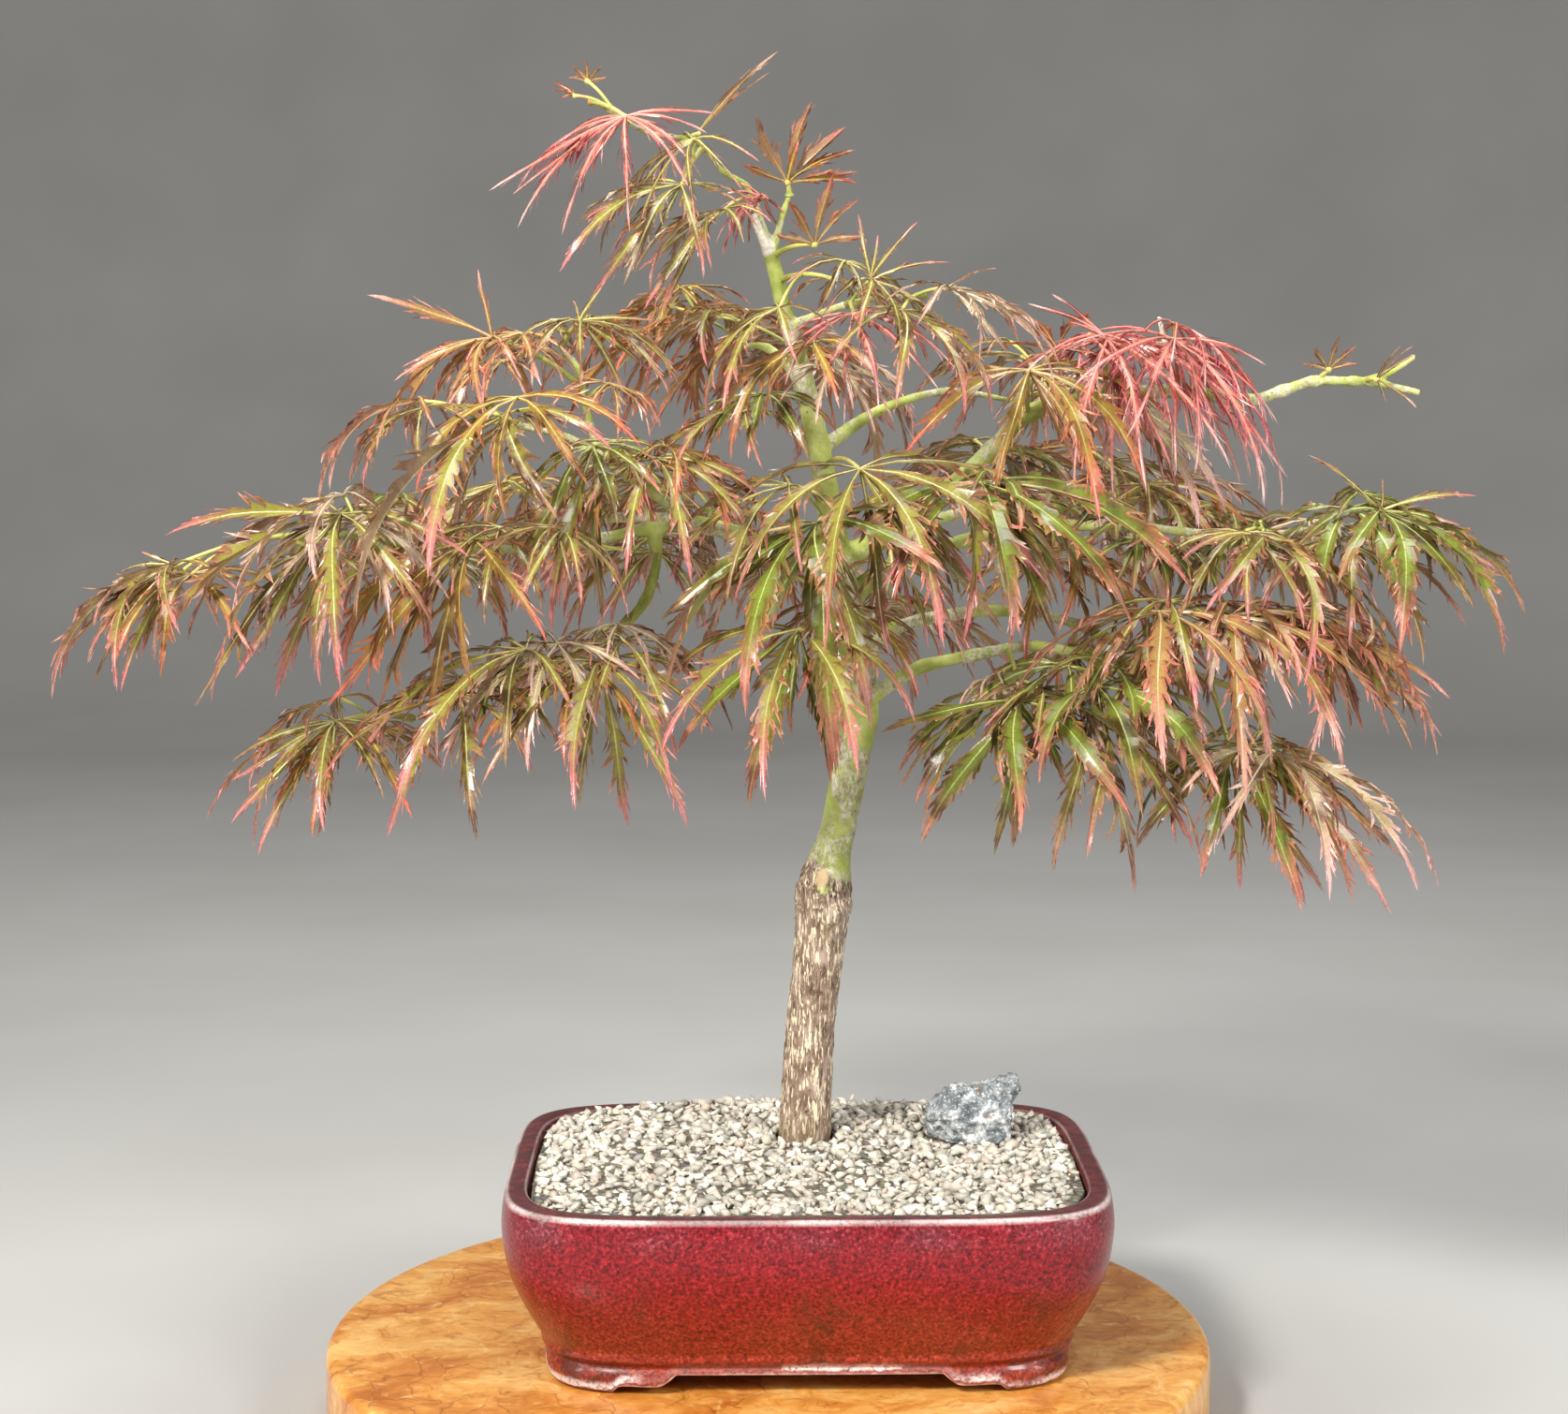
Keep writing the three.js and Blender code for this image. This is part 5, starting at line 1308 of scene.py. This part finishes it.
def glaze_finish():
    skin = Finish("pot_glaze", 0.3, 0.3, (0.3, 0.12))
    above, inside, level = skin.value("above"), skin.value("inside"), skin.value("level")
    speck = skin.noise(560, 4, 0.7)
    clouds = skin.noise(22, 5, 0.6, 0.8)
    runs = skin.noise(16, 3, 0.5, 0.3)
    red = skin.ramp(speck, (0.34, "#34060c"), (0.46, "#6e0c16"), (0.56, "#8c141e"), (0.7, "#b03238"))
    warm = skin.ramp(speck, (0.34, "#48180e"), (0.48, "#7e2818"), (0.6, "#9a3c24"), (0.7, "#b4583c"))
    low = skin.span(skin.math("MULTIPLY_ADD", clouds, -44, level), -12, 44, 0.9, 0)
    body = skin.mix(low, red, warm)
    # Dark cloudy patches, stronger towards the foot
    dark_patches_low = skin.math("MULTIPLY", skin.span(clouds, 0.5, 0.68, 0, 0.75), skin.span(level, 64, 26, 0.35, 1))
    body = skin.mix(dark_patches_low, body, "#3e2016")
    haze = skin.ramp(speck, (0.35, "#4c1a22"), (0.55, "#74343e"), (0.7, "#b07c84"))
    band = skin.math("MULTIPLY", skin.span(level, 72, 86), skin.span(level, 90.5, 88.5))
    body = skin.mix(skin.math("MULTIPLY", band, skin.span(clouds, 0.35, 0.65, 0.1, 0.6)), body, haze)
    rim = skin.ramp(skin.noise(180, 4, 0.6), (0.3, "#300e10"), (0.55, "#5a181c"), (0.75, "#7e3436"))
    top = skin.span(level, 90.5, 92.2)
    body = skin.mix(top, body, rim)
    ragged = skin.math("MULTIPLY_ADD", skin.noise(190, 4, 0.6), 3.2, above)
    lip = skin.math("MULTIPLY", skin.span(ragged, 2.6, 4.2), skin.span(ragged, 8.4, 4.6))
    patchy = skin.math("MULTIPLY", skin.span(runs, 0.46, 0.58), skin.span(speck, 0.42, 0.5, 0.35, 1))
    body = skin.mix(skin.math("MULTIPLY", lip, skin.span(patchy, 0, 1, 0.1, 0.95)), body, "#e6d8d8")
    edge = skin.math("MULTIPLY", skin.value("break"), skin.span(speck, 0.3, 0.55, 0.4, 1))
    body = skin.mix(skin.math("MULTIPLY", edge, skin.span(runs, 0.4, 0.55, 0.45, 1)), body, "#e6d4d0")
    clay = skin.ramp(skin.noise(260, 4, 0.6), (0.3, "#7d5a4c"), (0.6, "#a97f70"), (0.8, "#c9a296"))
    bare = skin.math("MAXIMUM", inside, skin.span(ragged, 3.0, 1.6))
    body = skin.mix(bare, body, clay)
    skin.paint(body)
    skin.rough(skin.math("MAXIMUM", skin.span(bare, 0, 1, 0.3, 0.85), skin.span(top, 0, 1, 0.3, 0.38)))
    ripple = skin.mix(0.5, skin.noise(230, 3, 0.6), speck)
    return skin.bump(ripple, 0.6, 1.1).material


def make_pot():
    outside = smooth_path(POT_OUTSIDE, 2)
    body = plain_object("pot_glazed", *pot_skin(np.vstack([outside, POT_INSIDE])))
    inner = POT_OUTSIDE[0][0] - POT["foot_ring"]
    hollow = [(inner, -1), (inner, POT["underside"] - 1), (inner - 1, POT["underside"])]
    cutters = [
        plain_object("cut", *pot_skin(hollow)),
        cloud_cut(POT["front_cloud"], 0), cloud_cut(POT["side_cloud"], math.pi / 2),
        drain_cut(-1), drain_cut(1),
    ]
    for cutter in cutters:
        cut = body.modifiers.new("cut", "BOOLEAN")
        cut.operation = "DIFFERENCE"
        cut.solver = "EXACT"
        cut.object = cutter
    apply_modifiers(body)
    for cutter in cutters:
        bpy.data.objects.remove(cutter)
    mesh = body.data
    mesh.materials.clear()
    mesh.materials.append(glaze_finish())
    points = mesh_points(mesh)
    level = points[:, 2] - BOARD["top"] - GAP
    shell = plan_half_length(points)
    x, y = np.abs(points[:, 0] - POT["x"]), np.abs(points[:, 1] - POT["y"])
    edges = cloud_edge(points, 0, POT["front_cloud"]), cloud_edge(points, 1, POT["side_cloud"])
    edge = np.where(y / (shell - POT["narrowing"]) > x / shell, *edges)
    wall = np.interp(level, [row[1] for row in POT_OUTSIDE], [row[0] for row in POT_OUTSIDE])
    inside = (shell < wall - 3) & (level < POT["rim_from"] + 0.2)
    rims = 0.9 * np.exp(-((shell - POT["rim_outer_edge"]) / 1.0) ** 2)
    rims += 0.5 * np.exp(-((shell - POT["rim_inner_edge"]) / 0.5) ** 2)
    set_values(mesh, "level", level)
    set_values(mesh, "above", np.where(inside, 0, level - np.maximum(edge, 0)))
    set_values(mesh, "inside", inside)
    set_values(mesh, "break", rims * (level > POT["rim_from"]))
    shade_smooth(mesh, 38)
    settle(body, "pot_glaze", "pot")


# Gravel

def gravel_top(x, y):
    """Height of the gravel above the board at places from the pot's middle, as in the part"""
    across = np.exp(-((x + 12) / GRAVEL["heap_width"]) ** 2)
    back = smoothstep(y, -95, 80)
    from_trunk = np.hypot(POT["x"] + x - ROOT["x"], POT["y"] + y - ROOT["y"])
    mound = GRAVEL["mound"] * np.exp(-(from_trunk / GRAVEL["mound_width"]) ** 2)
    from_rock = np.hypot(POT["x"] + x - ROCK["x"], (POT["y"] + y - ROCK["y"]) * 1.35)
    bed = smoothstep(from_rock, ROCK["length"] / 2 + 3, ROCK["length"] / 2 + 14)
    open_top = GRAVEL["edge"] + GRAVEL["heap"] * across * back + mound
    flat = ROCK["bed"] - GAP
    return flat + (open_top - flat) * bed


def bed_finish():
    skin = Finish("gravel_between", 0.85, 0.3)
    cells = skin.cells(330)
    # The bed is darker than the stones, and each small grain darkens towards its edge: painted shadow in the
    # gaps between stones and grains
    body = skin.ramp(cells, (0, "#a49e8e"), (0.5, "#787264"), (0.9, "#48443a"))
    body = skin.mix(0.35, body, skin.cells(330, output="Color"), "MULTIPLY")
    return skin.paint(body).bump(cells, 0.8, 1.5).material


def stone_finish():
    skin = Finish("gravel_stone", 0.85, 0.3)
    grain = skin.noise(900, 4, 0.7)
    tint = skin.value("tint")
    body = skin.ramp(skin.value("tone"), (0, "#9c9a90"), (0.2, "#b8b2a4"), (0.5, "#c9c2b2"), (0.8, "#d8d1c4"),
                     (1, "#e9e5da"))
    body = skin.mix(skin.span(tint, 0.8, 0.98, 0, 0.4), body, "#cfae9a")
    body = skin.mix(skin.span(tint, 0.2, 0.05, 0, 0.3), body, "#aaa890")
    body = skin.mix(skin.span(grain, 0.56, 0.68, 0, 0.45), body, "#827b70")
    return skin.paint(body).bump(grain, 0.6, 0.35).material


def stone_shapes(count, corners, random):
    """Unit shapes of crushed stone: hulls of a few points"""
    shapes = []
    for _ in range(count):
        mesh = bmesh.new()
        directions = random.normal(size=(corners, 3))
        directions /= np.linalg.norm(directions, axis=1)[:, None]
        directions *= (0.82 + 0.18 * random.rand(corners))[:, None]
        for row in directions:
            mesh.verts.new(row)
        hull = bmesh.ops.convex_hull(mesh, input=mesh.verts)
        spare = [item for item in hull["geom_interior"] if isinstance(item, bmesh.types.BMVert)]
        bmesh.ops.delete(mesh, geom=spare, context="VERTS")
        bmesh.ops.triangulate(mesh, faces=mesh.faces)
        mesh.verts.ensure_lookup_table()
        mesh.verts.index_update()
        points = np.array([vert.co for vert in mesh.verts])
        triangles = np.array([[vert.index for vert in face.verts] for face in mesh.faces])
        shapes.append((points, triangles))
        mesh.free()
    return shapes


def make_gravel():
    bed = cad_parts["gravel_bed"].data
    bed.materials.clear()
    bed.materials.append(bed_finish())
    random = np.random.RandomState(SEEDS["stones"])
    shapes = stone_shapes(40, 11, random)
    pile = Pile("tone", "tint")
    half = GRAVEL["half_length"]
    for spacing, low, high, sink in STONE_LAYERS:
        for row, y in enumerate(np.arange(-half, half, spacing * 0.87)):
            for x in np.arange(-half, half, spacing) + (row % 2) * spacing / 2:
                px, py = (x, y) + (random.rand(2) - 0.5) * spacing * 0.75
                size = low + (high - low) * random.rand() ** 1.4
                tone, tint = random.rand(2)
                turn = [*(random.rand(2) - 0.5) * STONE_TILT, random.rand() * ROUND]
                squash = [0.5 + 0.35 * random.rand(), 0.4 + 0.3 * random.rand()]
                points, triangles = shapes[random.randint(len(shapes))]
                lift = 1.2 * random.rand()
                place = np.array([POT["x"] + px, POT["y"] + py, 0])
                edge = plan_half_length(place[None])[0]
                from_trunk = np.hypot(place[0] - ROOT["x"], place[1] - ROOT["y"])
                from_rock = np.hypot((place[0] - ROCK["x"]) / ROCK["half_length"],
                                     (place[1] - ROCK["y"]) / ROCK["half_width"])
                if edge > half - 0.75 * size or from_trunk < ROOT["radius"] + 0.6 * size or from_rock < 0.9:
                    continue
                place[2] = BOARD["top"] + float(gravel_top(px, py)) - sink + lift
                body = points * np.array([1, *squash]) * size
                body = body @ np.array(Euler(turn).to_matrix()).T
                pile.add(body + place, triangles, tone=tone, tint=tint)
    settle(pile.build("gravel_stones", [stone_finish()]), "gravel")


# Rock

def rock_finish():
    skin = Finish("rock_surface", 0.8, 0.35)
    patches = skin.noise(105, 6, 0.68, 0.5)
    speck = skin.noise(640, 4, 0.7)
    body = skin.ramp(patches, (0.32, "#464c50"), (0.45, "#70777a"), (0.55, "#989ea0"), (0.62, "#d4d5d3"))
    rust = skin.math("MULTIPLY", skin.span(skin.noise(120, 4, 0.6, 1.0), 0.56, 0.66), 0.7)
    body = skin.mix(rust, body, "#8c7058")
    body = skin.mix(skin.span(speck, 0.55, 0.64, 0, 0.8), body, "#e4e6e3")
    body = skin.mix(skin.span(speck, 0.43, 0.34, 0, 0.7), body, "#2e3438")
    return skin.paint(body).bump(skin.mix(0.5, patches, speck), 1.0, 1.1).material


def make_rock():
    piece = placed("rock_rough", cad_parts["rock"].data.copy())
    mesh, points, normals = refined(piece, VOXELS["rock"], 2)
    push = 2.0 * (ridged(points, 0.085, 1, 3) - 0.8) + 1.3 * (ridged(points, 0.21, 1, 4) - 0.75)
    push += 0.5 * (ridged(points, 0.55, 1, 5) - 0.65)
    bed = BOARD["top"] + ROCK["bed"]
    push *= smoothstep(points[:, 2], bed, bed + 4)
    set_points(mesh, points + normals * push[:, None])
    mesh.materials.clear()
    mesh.materials.append(rock_finish())
    shade_smooth(mesh)
    settle(piece, "rock", "rock")


# Studio: the floor in millimetres, and the lights and the camera in metres

FLOOR = {"sides": 96, "flat": 3000, "sweep": 1800, "wall": 2600}
# Each light's place, width, height, power and tint
LIGHTS = {
    "key": ((-1.1, -1.7, 1.8), 0.4, 0.4, 91, (1, 0.97, 0.92)),
    "fill": ((1.5, -1.6, 1.3), 0.5, 0.5, 31, (0.97, 0.98, 1)),
    "top": ((0.2, 0.2, 2.2), 0.9, 0.9, 29, (1, 1, 1)),
    "left": ((-2.2, -1.15, 0.8), 0.25, 1.1, 16, (1, 1, 1)),
    "right": ((2.2, -1.15, 0.8), 0.25, 1.1, 16, (1, 1, 1)),
}
# The place that the lights face
AIM = Vector((0, 0, 0.35))
WORLD = {"Color": (0.88, 0.89, 0.91, 1), "Strength": 0.25}
CAMERA = {"place": (-0.0163, -1.426, 0.517), "down": 6.1, "turn": -0.98, "lens": 64.5, "sensor": 36,
          "clip": 0.05}


def make_floor():
    """A pale round floor that sweeps up into a low wall on all sides"""
    sides, flat, sweep, wall = (FLOOR[key] for key in ("sides", "flat", "sweep", "wall"))
    arc = np.linspace(0, math.pi / 2, 17)
    rows = [(flat + sweep * math.sin(a), sweep - sweep * math.cos(a)) for a in arc] + [(flat + sweep, wall)]
    points = [(r * math.cos(a), r * math.sin(a), z) for r, z in rows for a in ring_turns(sides)]
    faces = [tuple(range(sides))]
    for low in range(0, (len(rows) - 1) * sides, sides):
        faces += [(low + k, low + sides + k, low + sides + (k + 1) % sides, low + (k + 1) % sides)
                  for k in range(sides)]
    floor = plain_object("floor", points, faces)
    shade_smooth(floor.data)
    finish = Finish("floor_pale", 0.9, 0.2)
    finish.paint(finish.ramp(finish.noise(3, 2), (0.3, "#aaa9a5"), (0.7, "#b1b0ad")))
    floor.data.materials.append(finish.material)


def make_lights():
    world = bpy.data.worlds.new("studio")
    world.use_nodes = True
    for name, value in WORLD.items():
        world.node_tree.nodes["Background"].inputs[name].default_value = value
    bpy.context.scene.world = world
    bpy.context.scene.view_settings.view_transform = "Standard"
    for name, (place, width, height, power, tint) in LIGHTS.items():
        light = bpy.data.lights.new(name, "AREA")
        light.shape = "RECTANGLE"
        light.size = width
        light.size_y = height
        light.energy = power
        light.color = tint
        lamp = placed(name, light)
        lamp.location = place
        lamp.rotation_euler = (AIM - Vector(place)).to_track_quat("-Z", "Y").to_euler()


def make_camera():
    camera = bpy.data.cameras.new("camera")
    camera.lens = CAMERA["lens"]
    camera.sensor_width = CAMERA["sensor"]
    camera.clip_start = CAMERA["clip"]
    holder = placed("camera", camera)
    holder.location = CAMERA["place"]
    holder.rotation_euler = (math.radians(90 - CAMERA["down"]), 0, math.radians(CAMERA["turn"]))
    bpy.context.scene.camera = holder


make_camera()
make_floor()
make_lights()
make_board()
make_pot()
make_gravel()
make_rock()
make_wood()
make_leaves()
